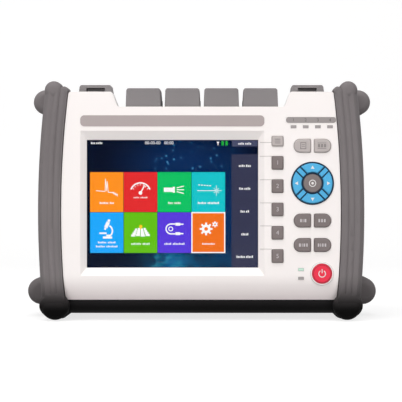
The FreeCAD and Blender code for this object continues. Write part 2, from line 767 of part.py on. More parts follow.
def make_front_cover():
    body = new_body("front_cover")
    block = front_sketch(body, PARTING)
    case_outline(block, COVER)
    extrude(body, block, "cover_depth")
    dress(body, "Fillet", "corner_round", along_y)

    # the face curves back below the screen
    belly = side_sketch(body)
    low = "(cover_bottom - 1)"
    depth = f"({FACE} + belly_radius - sqrt(belly_radius^2 - (belly_height - {low})^2))"
    outline(belly, [(FACE, "belly_height", ("belly_radius", 1)), (depth, low),
                    (f"({FACE} - 1)", low), (f"({FACE} - 1)", "belly_height")])
    cut(body, belly, "3 * cover_half", middle=True)

    # hollow from behind, shallower behind the curved foot of the face
    upper = front_sketch(body, PARTING)
    case_outline(upper, {**COVER, "low": "belly_height"}, "cover_wall")
    cut(body, upper, "cover_depth - face_wall", reverse=True)
    half = "(cover_half - cover_wall)"
    ceiling = "(belly_height + cover_wall + 1)"
    for floor, depth in (("belly_step", "cover_depth - belly_wall"),
                         ("(cover_bottom + cover_wall)", "cover_depth / 2")):
        lower = front_sketch(body, PARTING)
        outline(lower, [(f"-{barrel(half, floor)}", floor),
                        (barrel(half, floor), floor, (barrel_arc(half), 1)),
                        (barrel(half, ceiling), ceiling),
                        (f"-{barrel(half, ceiling)}", ceiling, (barrel_arc(half), 1))])
        cut(body, lower, depth, reverse=True)

    relief = front_sketch(body, BOARD)
    circle(relief, "power_side", "power_height", f"power_round + {POWER_LIP} + key_gap")
    cut(body, relief, "board_standoff", reverse=True)

    # frame that carries the glass, bosses for the board, the bracket and the screws
    frame = front_sketch(body, GLASS)
    draw_bezel(frame, "frame_wall")
    extrude(body, frame, f"{GLASS} - {FACE} - face_wall / 2")
    posts = front_sketch(body, BOARD)
    for x, z in KEYPAD_POSTS:
        circle(posts, x, z, "stem_round")
    extrude(body, posts, f"{BOARD} - {FACE} - face_wall / 2")
    feet = front_sketch(body, BRACKET)
    for x, z in BRACKET_PLACES:
        circle(feet, x, z, "bracket_boss_round")
    extrude(body, feet, f"{BRACKET} - {FACE} - face_wall / 2")
    bosses = front_sketch(body, PARTING)
    for x, z in SCREW_PLACES:
        circle(bosses, x, z, "boss_round")
    extrude(body, bosses, "cover_depth - belly_radius / 3")

    # sloping recess round the screen
    wide = front_sketch(body, FACE)
    draw_bezel(wide)
    narrow = front_sketch(body, f"({FACE} + bezel_deep)")
    draw_screen(narrow)
    recess = body.newObject("PartDesign::SubtractiveLoft", "bezel_recess")
    recess.Profile = wide
    recess.Sections = [narrow]
    recess.Ruled = True
    window = front_sketch(body, FACE)
    draw_screen(window)
    cut(body, window, "bezel_deep + bezel_lip + 1")

    # openings in the face
    drawings = [lambda sketch, box=box: draw_box(sketch, box, "key_gap") for box in BOX_KEYS.values()]
    drawings += [lambda sketch, x=x, z=z: draw_light(sketch, x, z) for x, z in STATUS_LIGHTS + POWER_LIGHTS]
    drawings.append(lambda sketch: circle(sketch, "pair_centre", "ring_height", "ring_round + key_gap / 2"))
    drawings.append(lambda sketch: circle(sketch, "power_side", "power_height",
                                          "(power_rim_round + power_rim_hole) / 2"))
    for draw in drawings:
        opening = front_sketch(body, f"({FACE} - 1)")
        draw(opening)
        cut(body, opening, "face_wall + 2")
    beds = front_sketch(body, f"({FACE} - 1)")
    for box in STRIPS.values():
        draw_box(beds, box, "0")
    cut(body, beds, "strip_inset + 1")

    # room for the port plate behind the notch floor, screw pilots
    port_room = plan_sketch(body, "notch_floor + 1")
    draw_port_room(port_room, f"({FACE} + plate_step)", f"({PARTING} + 1)")
    cut(body, port_room, "cover_wall + 2")
    pilots = front_sketch(body, PARTING)
    for x, z in SCREW_PLACES:
        circle(pilots, x, z, "screw_round")
    cut(body, pilots, "screw_grip", reverse=True)
    keep("front_cover", body)


def make_face_trim():
    for label, box in STRIPS.items():
        body = new_body(label)
        plate = front_sketch(body, f"({FACE} + strip_inset)")
        draw_box(plate, box, "0")
        extrude(body, plate, "strip_thick")
        keep(label, body)
    for label, places in (("status_leds", STATUS_LIGHTS), ("power_leds", POWER_LIGHTS)):
        pipes = []
        for number, (x, z) in enumerate(places):
            pipes.append(primitive(
                "Box", "%s_%d" % (label, number),
                {"Length": "light_wide", "Width": "face_wall + light_proud", "Height": "light_tall"},
                (f"{x} - light_wide / 2", f"{FACE} - light_proud", f"{z} - light_tall / 2")))
        group(label, pipes)


# ---------------------------------------------------------------- screen stack and boards

def make_screen():
    glass = new_body("screen_window")
    pane = front_sketch(glass, GASKET)
    draw_screen(pane, "glass_over")
    extrude(glass, pane, "glass_thick")
    keep("screen_window", glass)

    gasket = new_body("screen_gasket")
    ring = front_sketch(gasket, LCD)
    draw_screen(ring, "glass_over")
    draw_screen(ring, "(glass_over - gasket_width)")
    extrude(gasket, ring, "gasket_thick")
    keep("screen_gasket", gasket)

    lcd = new_body("lcd_module")
    panel = front_sketch(lcd, BRACKET)
    draw_screen(panel, "glass_over")
    extrude(lcd, panel, "lcd_thick")
    dress(lcd, "Chamfer", "lcd_thick / 8", lambda edge: lies_at(edge, "y", value(BRACKET)))
    keep("lcd_module", lcd)

    bracket = new_body("lcd_bracket")
    sheet_metal = front_sketch(bracket, f"({BRACKET} + bracket_thick)")
    draw_screen(sheet_metal, "glass_over")
    extrude(bracket, sheet_metal, "bracket_thick")
    for x, z in BRACKET_PLACES:
        tab = front_sketch(bracket, f"({BRACKET} + bracket_thick)")
        inward = 1 if value(z) < value("screen_bottom") else -1
        reach = "+" if inward > 0 else "-"
        low, high = sorted((z, f"({z} {reach} bracket_boss_round * 3)"), key=value)
        rectangle(tab, f"({x} - bracket_boss_round)", f"({x} + bracket_boss_round)", low, high)
        extrude(bracket, tab, "bracket_thick")
        end = front_sketch(bracket, f"({BRACKET} + bracket_thick)")
        circle(end, x, z, "bracket_boss_round")
        extrude(bracket, end, "bracket_thick")
    keep("lcd_bracket", bracket)


def make_boards():
    posts = []
    for side in ("-post_side - 10", "post_side - 37"):
        for level in ("post_low", "(post_low + post_pitch)"):
            posts.append(rod_along_y("post_%d" % len(posts), "post_round", "main_board_gap",
                                     (side, f"{BRACKET} + bracket_thick", level)))
    group("board_posts", posts)

    board = new_body("main_board")
    panel = front_sketch(board, f"({MAIN_BOARD} + board_thick)")
    rectangle(panel, "-main_board_half", "main_board_half",
              "main_board_low", "main_board_low + main_board_tall")
    extrude(board, panel, "board_thick")
    keep("main_board", board)

    module = new_body("optical_module")
    can = front_sketch(module, f"({MAIN_BOARD} + board_thick + module_deep)")
    rectangle(can, "-module_half", "module_half", "module_low", "module_low + module_tall")
    extrude(module, can, "module_deep")
    dress(module, "Fillet", "corner_round", along_y)
    keep("optical_module", module)


# ---------------------------------------------------------------- rear housing

def make_rear_housing():
    body = new_body("rear_housing")
    block = front_sketch(body, BACK)
    case_outline(block, HOUSING)
    extrude(body, block, f"{BACK} - {PARTING}")
    dress(body, "Fillet", "corner_round * 1.5", along_y)
    dress(body, "Fillet", "back_round", lambda edge: lies_at(edge, "y", value(BACK)))

    # lip that reaches forward under the front cover
    lip = side_sketch(body)
    tip = f"({PARTING} - lip_reach)"
    top = "(cover_bottom - lip_gap)"
    outline(lip, [(f"({PARTING} + 1)", "housing_bottom"), (f"({PARTING} + 1)", top), (tip, top),
                  (tip, f"({top} - 1.2)", (f"(lip_reach * 1.15)", 1)),
                  (f"({PARTING} - 1)", "housing_bottom")])
    extrude(body, lip, "2 * lip_half", middle=True)

    # hollow from the front
    hollow = front_sketch(body, PARTING)
    case_outline(hollow, HOUSING, "housing_wall")
    cut(body, hollow, f"{BACK} - {PARTING} - housing_wall")

    groove = front_sketch(body, PARTING)
    draw_seal(groove, "seal_gap")
    cut(body, groove, "seal_thick")

    # walls of the battery bay, ledge of its door, backing of the stand recess, screw columns
    bay = front_sketch(body, BACK)
    rectangle(bay, "-(bay_half + bay_wall)", "bay_half + bay_wall",
              "bay_low - bay_wall", "bay_low + bay_tall + bay_wall")
    extrude(body, bay, "bay_deep + bay_wall")
    ledge = front_sketch(body, BACK)
    draw_box(ledge, DOOR, "bay_wall")
    extrude(body, ledge, "door_thick + housing_wall")
    nuts = front_sketch(body, BACK)
    for x, z in DOOR_SCREWS:
        circle(nuts, x, z, "boss_round")
    extrude(body, nuts, "bay_deep / 2 + housing_wall")
    backing = front_sketch(body, BACK)
    rectangle(backing, "-(stand_half + stand_gap + stand_pin_grip + 1)",
              "stand_half + stand_gap + stand_pin_grip + 1",
              "stand_low - stand_gap - housing_wall", "bay_low")
    extrude(body, backing, "stand_recess + housing_wall")
    columns = front_sketch(body, BACK)
    for x, z in SCREW_PLACES:
        circle(columns, x, z, "boss_round + 1")
    extrude(body, columns, f"{BACK} - {PARTING} - seal_thick")

    # bay, its door's seat, stand recess, finger notch
    room = front_sketch(body, BACK)
    rectangle(room, "-bay_half", "bay_half", "bay_low", "bay_low + bay_tall")
    cut(body, room, "bay_deep", reverse=True)
    seat = front_sketch(body, BACK)
    draw_box(seat, DOOR, "door_gap")
    cut(body, seat, "door_thick", reverse=True)
    recess = front_sketch(body, BACK)
    rectangle(recess, "-(stand_half + stand_gap)", "stand_half + stand_gap",
              "stand_low - stand_gap", "stand_pivot + stand_barrel + stand_gap")
    cut(body, recess, "stand_recess", reverse=True)
    notch = front_sketch(body, BACK)
    rounded_rectangle(notch, "-finger_half", "finger_half",
                      "stand_low - stand_gap - 6", "stand_low + 4", "2", "2")
    cut(body, notch, "stand_recess", reverse=True)
    axle = side_sketch(body)
    circle(axle, STAND_Y, "stand_pivot", "stand_pin_round")
    cut(body, axle, "2 * (stand_half + stand_gap + stand_pin_grip)", middle=True)

    # screw clearance, and the deep counterbores of the heads
    shanks = front_sketch(body, PARTING)
    for x, z in SCREW_PLACES:
        circle(shanks, x, z, "screw_round + screw_gap")
    cut(body, shanks, "screw_floor + 1")
    wells = front_sketch(body, f"({BACK} + 1)")
    for x, z in SCREW_PLACES:
        circle(wells, x, z, "screw_head_round + screw_gap")
    cut(body, wells, f"{BACK} + 1 - {PARTING} - screw_floor", reverse=True)
    pilots = front_sketch(body, f"({BACK} + 1)")
    for x, z in DOOR_SCREWS:
        circle(pilots, x, z, "screw_round")
    cut(body, pilots, "bay_deep / 2", reverse=True)

    # room for the port plate and the strap lugs' feet
    port_room = plan_sketch(body, "notch_floor + 1")
    draw_port_room(port_room, f"({PARTING} - 1)", f"({FACE} + plate_step + plate_depth)")
    cut(body, port_room, "housing_wall + housing_notch_drop + 2")
    keep("rear_housing", body)


DOOR = ("-(bay_half + door_over)", "bay_half + door_over",
        "bay_low - door_over / 2", "bay_low + bay_tall + 2 * door_over", "2", "2")
DOOR_SCREWS = [(f"{sign}door_screw_side", "(bay_low + bay_tall + 2 * door_over - door_screw_drop)")
               for sign in ("", "-")]


def make_battery():
    pack = new_body("battery_pack")
    cell = front_sketch(pack, f"({BACK} - door_thick)")
    rounded_rectangle(cell, "-(bay_half - bay_gap)", "bay_half - bay_gap",
                      "(bay_low + bay_gap)", "(bay_low + bay_tall - bay_gap)", "3", "3")
    extrude(pack, cell, "bay_deep - door_thick")
    keep("battery_pack", pack)

    door = new_body("battery_door")
    panel = front_sketch(door, BACK)
    draw_box(panel, DOOR, "0")
    extrude(door, panel, "door_thick")
    wells = front_sketch(door, BACK)
    holes = front_sketch(door, BACK)
    for x, z in DOOR_SCREWS:
        circle(wells, x, z, "screw_head_round + screw_gap")
        circle(holes, x, z, "screw_round + screw_gap")
    cut(door, wells, "door_thick / 2", reverse=True)
    cut(door, holes, "door_thick", reverse=True)
    keep("battery_door", door)


def make_screws():
    """Case screws in their columns, and the two short screws of the battery door."""
    case, door = [], []
    for x, z in SCREW_PLACES:
        head = rod_along_y("case_head_%d" % len(case), "screw_head_round", "screw_head_tall",
                           (x, f"{PARTING} + screw_floor", z))
        shank = rod_along_y("case_shank_%d" % len(case), "screw_round", "screw_floor + screw_grip - 1",
                            (x, f"{PARTING} - screw_grip + 1", z))
        case.append(fused("case_screw_%d" % len(case), [head, shank]))
    for x, z in DOOR_SCREWS:
        head = rod_along_y("door_head_%d" % len(door), "screw_head_round", "door_thick / 2",
                           (x, f"{BACK} - door_thick / 2", z))
        shank = rod_along_y("door_shank_%d" % len(door), "screw_round", "bay_deep / 2 - 2",
                            (x, f"{BACK} - bay_deep / 2 + 1", z))
        door.append(fused("door_screw_%d" % len(door), [head, shank]))
    group("case_screws", case)
    group("door_screws", door)


def fused(label, items):
    fuse = document.addObject("Part::MultiFuse", label)
    fuse.Shapes = items
    return fuse


def draw_seal(sketch, grow="0"):
    middle = "((cover_wall - seal_width) / 2)"
    case_outline(sketch, COVER, f"({middle} - {grow})")
    case_outline(sketch, COVER, f"({middle} + seal_width + {grow})")


def draw_port_room(sketch, front, back):
    rectangle(sketch, "port_row_centre - plate_half", "port_row_centre + plate_half", front, back)


def make_seal():
    """Flat seal in a groove of the rear housing, open where the port plate crosses it."""
    body = new_body("housing_seal")
    ring = front_sketch(body, f"({PARTING} + seal_thick)")
    draw_seal(ring)
    extrude(body, ring, "seal_thick")
    room = plan_sketch(body, "notch_floor + 1")
    draw_port_room(room, f"({PARTING} - 1)", f"({PARTING} + 2)")
    cut(body, room, "cover_wall + 2")
    keep("housing_seal", body)


# ---------------------------------------------------------------- rubber guards

def lobe(body, x, z, radius, front, depth, edge):
    """Round-ended lump of rubber whose axis runs front to back."""
    sketch = plan_sketch(body, z)
    side = f"({x} + {radius})"
    back = f"({front} + {depth})"
    outline(sketch, [(x, front), (f"({side} - {edge})", front, (edge, 1)), (side, f"({front} + {edge})"),
                     (side, f"({back} - {edge})", (edge, 1)), (f"({side} - {edge})", back), (x, back)])
    spun = body.newObject("PartDesign::Revolution", body.Label + "_lobe")
    spun.Profile = sketch
    spun.ReferenceAxis = (sketch, [axis_along_y(sketch, x)])
    spun.Angle = 360


def make_guards():
    """Rubber guard on the right side, and its mirror image on the left."""
    body = new_body("right_bumper")
    front = "(-overall_depth / 2)"
    back = f"({front} + guard_bar_depth)"
    inner = "(cover_half + guard_shadow)"
    outer = f"({inner} + guard_width)"
    groove = f"({front} + rib_high)"
    rib = ("(rib_pitch^2 / (8 * rib_high) + rib_high / 2)", 1)
    flank = ("(flank_pitch^2 / (8 * flank_high) + flank_high / 2)", 1)
    first = f"({inner} + rib_start)"
    flank_start = f"({front} + guard_round + rib_high)"
    corners = [(inner, groove), (first, groove, rib)]
    for number in (1, 2):
        corners.append((f"({first} + {number} * rib_pitch)", groove, rib))
    shoulder = f"({first} + 2.8 * rib_pitch)"
    corners[-1] = (f"({first} + 2 * rib_pitch)", groove, ("(2 * guard_round)", 1))
    corners.append((shoulder, f"({front} + rib_high / 3)", ("(guard_round * 1.4)", 1)))
    side = f"({outer} - flank_high)"
    for number in range(6):
        corners.append((side, f"({flank_start} + {number} * flank_pitch)", flank))
    corners.append((side, f"({flank_start} + 6 * flank_pitch)", ("(guard_round * 1.2)", 1)))
    corners.append((f"({outer} - guard_round)", back))
    corners.append((inner, back))
    section = plan_sketch(body, "barrel_height")
    outline(section, corners)
    axis = axis_along_y(section, "(cover_half - barrel_radius)")
    bar = body.newObject("PartDesign::Revolution", "guard_bar")
    bar.Profile = section
    bar.ReferenceAxis = (section, [axis])
    bar.Type = "TwoAngles"
    reach = f"(barrel_radius + guard_shadow + guard_width / 2)"
    bar.setExpression("Angle", bind(f"asin((barrel_height - foot_lobe_height) / {reach})"))
    bar.setExpression("Angle2", bind(f"asin((top_lobe_height - barrel_height) / {reach})"))

    lobe(body, "foot_lobe_side", "foot_lobe_height", "foot_lobe_round", front, "guard_bar_depth", "lobe_edge")
    lobe(body, "top_lobe_side", "top_lobe_height", "top_lobe_round", front, "top_lobe_depth", "lobe_edge")
    lobe(body, "top_lobe_side", "(top_lobe_height - heel_lobe_drop)", "heel_lobe_round",
         f"({front} + top_lobe_depth / 2)", "guard_bar_depth - top_lobe_depth / 2", "(lobe_edge / 2)")
    lobe(body, "ear_side", "ear_height", "ear_round", f"({front} + 0.5)", "knob_depth / 2", "(ear_round / 2)")
    knob_front = "(overall_depth / 2 - knob_depth)"
    lobe(body, "upper_knob_side", "upper_knob_height", "upper_knob_round", knob_front,
         "knob_depth", "lobe_edge")
    lobe(body, "(overall_width / 2 - lower_knob_round)", "lower_knob_height", "lower_knob_round",
         knob_front, "knob_depth", "lobe_edge")

    # room for the cover and the wider housing inside the guard
    low, high = "(housing_bottom - guard_gap)", "(shoulder_top + guard_gap)"
    for half, start in (("(cover_half + guard_shadow)", f"({front} - 1)"),
                        ("(cover_half + housing_over + guard_gap)", f"({PARTING} - guard_gap)")):
        core = front_sketch(body, start)
        outline(core, [("0", low), (barrel(half, low), low, (barrel_arc(half), 1)),
                       (barrel(half, high), high), ("0", high)])
        cut(body, core, "overall_depth + 2")

    # flat foot to stand on, and a toe that curves up to the front
    ground = front_sketch(body, f"(overall_depth / 2 + 1)")
    rectangle(ground, "0", "overall_width", "-foot_lobe_round", "0")
    cut(body, ground, "overall_depth + 2", reverse=True)
    toe = side_sketch(body)
    toe_back = f"({front} + guard_toe)"
    outline(toe, [(f"({front} - 1)", "-1"), (toe_back, "-1"), (toe_back, "0", ("guard_toe", -1)),
                  (front, "guard_toe"), (f"({front} - 1)", "guard_toe")])
    cut(body, toe, "overall_width + 2", middle=True)
    keep("right_bumper", body)
    mirror_node("left_bumper", body)


def mirror_node(label, source):
    """The same piece on the other side of the case."""
    mirror = document.addObject("Part::Mirroring", label)
    mirror.Source = source
    mirror.Normal = FreeCAD.Vector(1, 0, 0)
    return keep(label, mirror)


def make_strap_lugs():
    body = new_body("strap_lug_right")
    foot = "(shoulder_top - housing_drop)"
    top = f"({foot} + lug_tall + housing_drop)"
    front = f"({FACE} + lug_step)"
    left, right = "(strap_lug_side - lug_wide / 2)", "(strap_lug_side + lug_wide / 2)"
    arch = front_sketch(body, f"({front} + lug_deep)")
    outline(arch, [(left, foot), (right, foot), (f"({right} - lug_corner / 3)", f"({top} - lug_corner)",
                                                 ("lug_corner", 1)),
                   (f"({right} - lug_corner)", top), (f"({left} + lug_corner)", top, ("lug_corner", 1)),
                   (f"({left} + lug_corner / 3)", f"({top} - lug_corner)")])
    extrude(body, arch, "lug_deep")
    sill = f"({foot} + strap_slot_low)"
    slot = front_sketch(body, front)
    rectangle(slot, "(strap_lug_side - strap_slot_wide / 2)", "(strap_lug_side + strap_slot_wide / 2)",
              sill, f"({sill} + strap_slot_tall)")
    cut(body, slot, "lug_deep")
    ramp = side_sketch(body, "strap_lug_side")
    outline(ramp, [(f"({front} - 1)", f"({sill} - strap_ramp_fall)"), (front, f"({sill} - strap_ramp_fall)"),
                   (f"({front} + strap_ramp_deep)", sill), (f"({front} + strap_ramp_deep)", f"({sill} + 1)"),
                   (f"({front} - 1)", f"({sill} + 1)")])
    cut(body, ramp, "strap_slot_wide", middle=True)
    keep("strap_lug_right", body)
    mirror_node("strap_lug_left", body)


# ---------------------------------------------------------------- ports

def port_side(number):
    return f"(port_row_centre + ({number} - 1.5) * cap_pitch)"


FIBRE_PORTS = {"fault_locator_port": 1, "otdr_port": 2, "meter_port": 3}


def make_port_plate():
    body = new_body("port_plate")
    under = f"({PLATE_TOP} - plate_thick)"
    plate = plan_sketch(body, under)
    draw_port_room(plate, f"({FACE} + plate_step)", f"({FACE} + plate_step + plate_depth)")
    extrude(body, plate, "plate_thick")
    for number in range(4):
        knuckle = side_sketch(body, port_side(number))
        rectangle(knuckle, f"({HINGE_Y} - barrel_round)", f"({HINGE_Y} + barrel_round)", under, HINGE_Z)
        extrude(body, knuckle, "knuckle_width", middle=True)
        eye = side_sketch(body, port_side(number))
        circle(eye, HINGE_Y, HINGE_Z, "barrel_round")
        extrude(body, eye, "knuckle_width", middle=True)
    bore = side_sketch(body)
    circle(bore, HINGE_Y, HINGE_Z, "rod_round")
    cut(body, bore, "6 * cap_pitch", middle=True)
    holes = plan_sketch(body, f"({PLATE_TOP})")
    for number in FIBRE_PORTS.values():
        circle(holes, port_side(number), f"({FACE} + port_step)", "adapter_round")
    rectangle(holes, *usb_box())
    circle(holes, port_side(0), f"({FACE} + power_jack_step)", "power_jack_round")
    cut(body, holes, "plate_thick")
    keep("port_plate", body)

    pins = []
    for number in range(4):
        pins.append(primitive("Cylinder", "cap_hinge_pin_%d" % (number + 1),
                              {"Radius": "rod_round", "Height": "cap_width - 2 * pin_inset"},
                              (f"({port_side(number)} - cap_width / 2 + pin_inset)", HINGE_Y, HINGE_Z),
                              (FreeCAD.Vector(0, 1, 0), 90)))
    group("cap_hinge_pins", pins)


def usb_box(inset="0"):
    return (f"({port_side(0)} - usb_wide / 2 + {inset})", f"({port_side(0)} + usb_wide / 2 - {inset})",
            f"({FACE} + usb_step - usb_deep / 2 + {inset})", f"({FACE} + usb_step + usb_deep / 2 - {inset})")


def make_ports():
    for label, number in FIBRE_PORTS.items():
        body = new_body(label)
        x, y = port_side(number), f"({FACE} + port_step)"
        top = f"({PLATE_TOP} + adapter_flange_thick + thread_tall)"
        shell = plan_sketch(body, f"({PLATE_TOP} - plate_thick - adapter_below)")
        circle(shell, x, y, "adapter_round")
        extrude(body, shell, "plate_thick + adapter_below")
        flange = plan_sketch(body, PLATE_TOP)
        rectangle(flange, f"({x} - adapter_flange / 2)", f"({x} + adapter_flange / 2)",
                  f"({y} - adapter_flange / 2)", f"({y} + adapter_flange / 2)")
        extrude(body, flange, "adapter_flange_thick")
        thread = plan_sketch(body, f"({PLATE_TOP} + adapter_flange_thick)")
        circle(thread, x, y, "thread_round")
        extrude(body, thread, "thread_tall")
        well = plan_sketch(body, top)
        circle(well, x, y, "sleeve_well")
        circle(well, x, y, "sleeve_round")
        cut(body, well, "sleeve_well_deep")
        bore = plan_sketch(body, top)
        circle(bore, x, y, "ferrule_bore")
        cut(body, bore, "ferrule_deep")
        keep(label, body)

    usb = new_body("usb_socket")
    shell = plan_sketch(usb, f"({PLATE_TOP} - usb_below)")
    rectangle(shell, *usb_box())
    extrude(usb, shell, "usb_below")
    mouth = plan_sketch(usb, PLATE_TOP)
    rectangle(mouth, *usb_box("usb_shell"))
    cut(usb, mouth, "usb_below - 2")
    tongue = plan_sketch(usb, f"({PLATE_TOP} - usb_below + 1)")
    box = usb_box("(usb_shell + 0.6)")
    rectangle(tongue, box[0], box[1], box[2], f"({box[2]} + usb_tongue)")
    extrude(usb, tongue, "usb_below - 2")
    keep("usb_socket", usb)

    jack = new_body("dc_socket")
    x, y = port_side(0), f"({FACE} + power_jack_step)"
    tube = plan_sketch(jack, f"({PLATE_TOP} - power_jack_below - 2)")
    circle(tube, x, y, "power_jack_round")
    extrude(jack, tube, "power_jack_below + 2")
    bore = plan_sketch(jack, PLATE_TOP)
    circle(bore, x, y, "power_jack_bore")
    circle(bore, x, y, "power_jack_pin")
    cut(jack, bore, "power_jack_deep")
    keep("dc_socket", jack)


def make_caps():
    """Four hollow flip caps, each with two barrels either side of the plate's knuckle."""
    low = "(notch_floor + cap_lift)"
    top = f"({low} + cap_tall)"
    for number in range(4):
        body = new_body("port_cap_%d" % (number + 1))
        middle = port_side(number)
        shell = front_sketch(body, f"({HINGE_Y})")
        outline(shell, [
            (f"({middle} - cap_width / 2)", low), (f"({middle} + cap_width / 2)", low),
            (f"({middle} + cap_top_width / 2)", f"({top} - cap_round)", ("cap_round", 1)),
            (f"({middle} + cap_top_width / 2 - cap_round)", top),
            (f"({middle} - cap_top_width / 2 + cap_round)", top, ("cap_round", 1)),
            (f"({middle} - cap_top_width / 2)", f"({top} - cap_round)"),
        ])
        extrude(body, shell, "cap_depth")
        brow = side_sketch(body, middle)
        fall = f"({HINGE_Z} + barrel_round)"
        outline(brow, [(f"({HINGE_Y} + 1)", fall), (f"({HINGE_Y} + 1)", f"({top} + 1)"),
                       (f"({HINGE_Y} - cap_depth / 2)", f"({top} + 1)"),
                       (f"({HINGE_Y} - cap_depth / 2)", top, (f"(cap_depth * 0.6)", -1)),
                       (HINGE_Y, fall)])
        cut(body, brow, "2 * cap_width", middle=True)
        dress(body, "Fillet", "cap_round / 2",
              lambda edge: lies_at(edge, "y", value(CAP_FRONT)) and edge.BoundBox.ZMax > value(f"{low} + 1"))
        knuckle = side_sketch(body, middle)
        circle(knuckle, HINGE_Y, HINGE_Z, "barrel_round")
        extrude(body, knuckle, "cap_width", middle=True)
        hollow = plan_sketch(body, low)
        rectangle(hollow, f"({middle} - cap_top_width / 2 + cap_wall)",
                  f"({middle} + cap_top_width / 2 - cap_wall)",
                  f"({CAP_FRONT} + cap_wall)", f"({HINGE_Y} - 2 * barrel_round)")
        cut(body, hollow, f"cap_tall - 2 * cap_wall", reverse=True)
        bore = side_sketch(body, middle)
        circle(bore, HINGE_Y, HINGE_Z, "rod_round + rod_gap")
        cut(body, bore, "2 * cap_width", middle=True)
        room = "(barrel_round + knuckle_room)"
        slot = side_sketch(body, middle)
        rectangle(slot, f"({HINGE_Y} - {room})", f"({HINGE_Y} + {room})", f"({low} - 1)", HINGE_Z)
        cut(body, slot, "knuckle_width + 2 * knuckle_gap", middle=True)
        round_room = side_sketch(body, middle)
        circle(round_room, HINGE_Y, HINGE_Z, room)
        cut(body, round_room, "knuckle_width + 2 * knuckle_gap", middle=True)
        keep("port_cap_%d" % (number + 1), body)


# ---------------------------------------------------------------- folding stand

def make_stand():
    body = new_body("kickstand")
    plate = front_sketch(body, f"({STAND_Y} + stand_barrel)")
    rounded_rectangle(plate, "-stand_half", "stand_half", "stand_low", "stand_pivot", "3", "3")
    extrude(body, plate, "stand_thick")
    barrel_round_bar = side_sketch(body)
    circle(barrel_round_bar, STAND_Y, "stand_pivot", "stand_barrel")
    extrude(body, barrel_round_bar, "2 * stand_half", middle=True)
    bore = side_sketch(body)
    circle(bore, STAND_Y, "stand_pivot", "stand_pin_round + rod_gap")
    cut(body, bore, "3 * stand_half", middle=True)
    keep("kickstand", body)
    pins = []
    for number, start in enumerate(("-(stand_half + stand_gap + stand_pin_grip)",
                                    "stand_half - stand_pin_grip")):
        pins.append(primitive("Cylinder", "stand_pin_%d" % number,
                              {"Radius": "stand_pin_round", "Height": "2 * stand_pin_grip + stand_gap"},
                              (start, STAND_Y, "stand_pivot"), (FreeCAD.Vector(0, 1, 0), 90)))
    group("stand_pins", pins)


# ---------------------------------------------------------------- build and write

make_front_cover()
make_face_trim()
make_screen()
make_boards()
make_keys()
make_keypad()
make_ring()
make_rear_housing()
make_seal()
make_battery()
make_screws()
make_guards()
make_strap_lugs()
make_port_plate()
make_ports()
make_caps()
make_stand()
document.recompute()

for item in document.Objects:
    if "Invalid" in item.State or "Error" in item.State:
        raise RuntimeError(item.Label + " did not recompute: " + str(item.State))
for label, item in nodes.items():
    if item.Shape.isNull() or not item.Shape.isValid():
        raise RuntimeError(label + " has no valid shape")

os.makedirs("parts", exist_ok=True)
for label, item in nodes.items():
    item.Shape.exportStep(os.path.join("parts", label + ".step"))
print(len(nodes), "nodes written")
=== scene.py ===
"""Looks of the handheld optical time domain reflectometer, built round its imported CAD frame."""
import math

import bmesh
import bpy
from mathutils import Matrix, Vector


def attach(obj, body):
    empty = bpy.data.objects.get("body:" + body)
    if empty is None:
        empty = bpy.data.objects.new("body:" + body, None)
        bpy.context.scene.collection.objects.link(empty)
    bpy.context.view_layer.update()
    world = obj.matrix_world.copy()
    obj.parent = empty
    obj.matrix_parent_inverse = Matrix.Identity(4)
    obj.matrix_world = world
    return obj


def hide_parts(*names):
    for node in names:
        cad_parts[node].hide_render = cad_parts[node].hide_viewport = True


MM = 0.001
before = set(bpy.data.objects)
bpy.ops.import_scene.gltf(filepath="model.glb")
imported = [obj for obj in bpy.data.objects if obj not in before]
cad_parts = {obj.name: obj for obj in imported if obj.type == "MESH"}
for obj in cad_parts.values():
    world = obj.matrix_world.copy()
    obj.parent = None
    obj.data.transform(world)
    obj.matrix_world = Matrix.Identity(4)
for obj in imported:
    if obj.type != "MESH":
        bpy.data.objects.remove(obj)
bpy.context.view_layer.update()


# ---------------------------------------------------------------- planes and places, in mm

FACE = -34.8                    # front of the cover
KEY_TOP = -36.0                 # front of the keys
LCD_FRONT = -28.2               # front of the screen module
ART = LCD_FRONT - 0.08          # plane of the lit picture elements
INK_STEP = 0.06                 # marks stand this far in front of what they lie on
INK_DEEP = 0.04                 # thickness of a mark on the picture
PRINT = 0.05                    # thickness of a print on a key
LINE_DEEP = 0.06                # thickness of a line on the cover

SCREEN = (-79.9, 40.0, 36.4, 126.3)             # left, right, low and high edge of the picture
COLUMNS = (-77.2, -53.8, -30.3, -6.6, 16.9)     # edges of the tiles
ROWS = (103.5, 75.5, 47.1)
TILE_GAP = 0.15
BORDER = 0.8                    # width of the chosen tile's border
MENU_LEFT, MENU_RIGHT, MENU_MIDDLE = 21.2, 39.6, 30.4
MENU_TOPS = (115.7, 99.9, 84.0, 68.2, 52.3, 36.9)
MENU_HEAD = (121.2, 125.2)
STATUS_Z = 123.6                # height of the status line

SOFT_X = 53.2                   # column of the menu key and the soft keys
SOFT_HEIGHTS = [45.0 + 16.2 * step for step in range(4, -1, -1)]
MENU_KEY_Z = 124.9
PAIR_LEFT, PAIR_RIGHT = 71.0, 84.0              # columns of the paired keys
PAD_Z = 121.7
FUNCTION_HIGH, FUNCTION_LOW = 69.7, 52.7
RING_X, RING_Z, ARROW_REACH = 77.45, 95.6, 10.8
POWER_X, POWER_Z = 84.1, 32.8
LEADER_X, LEADER_LONG = 45.2, 8.4
LEADER_HEIGHTS = (124.0, 114.4, 98.1, 82.0, 66.0, 49.9)
STATUS_FILM = ((59.1, 93.8), (137.6, 141.6))    # its reach across and up
STATUS_FIRST, STATUS_PITCH = 64.3, 8.45         # lamps of the status strip
CHARGE_X, CHARGE_Z = 69.5, 35.7

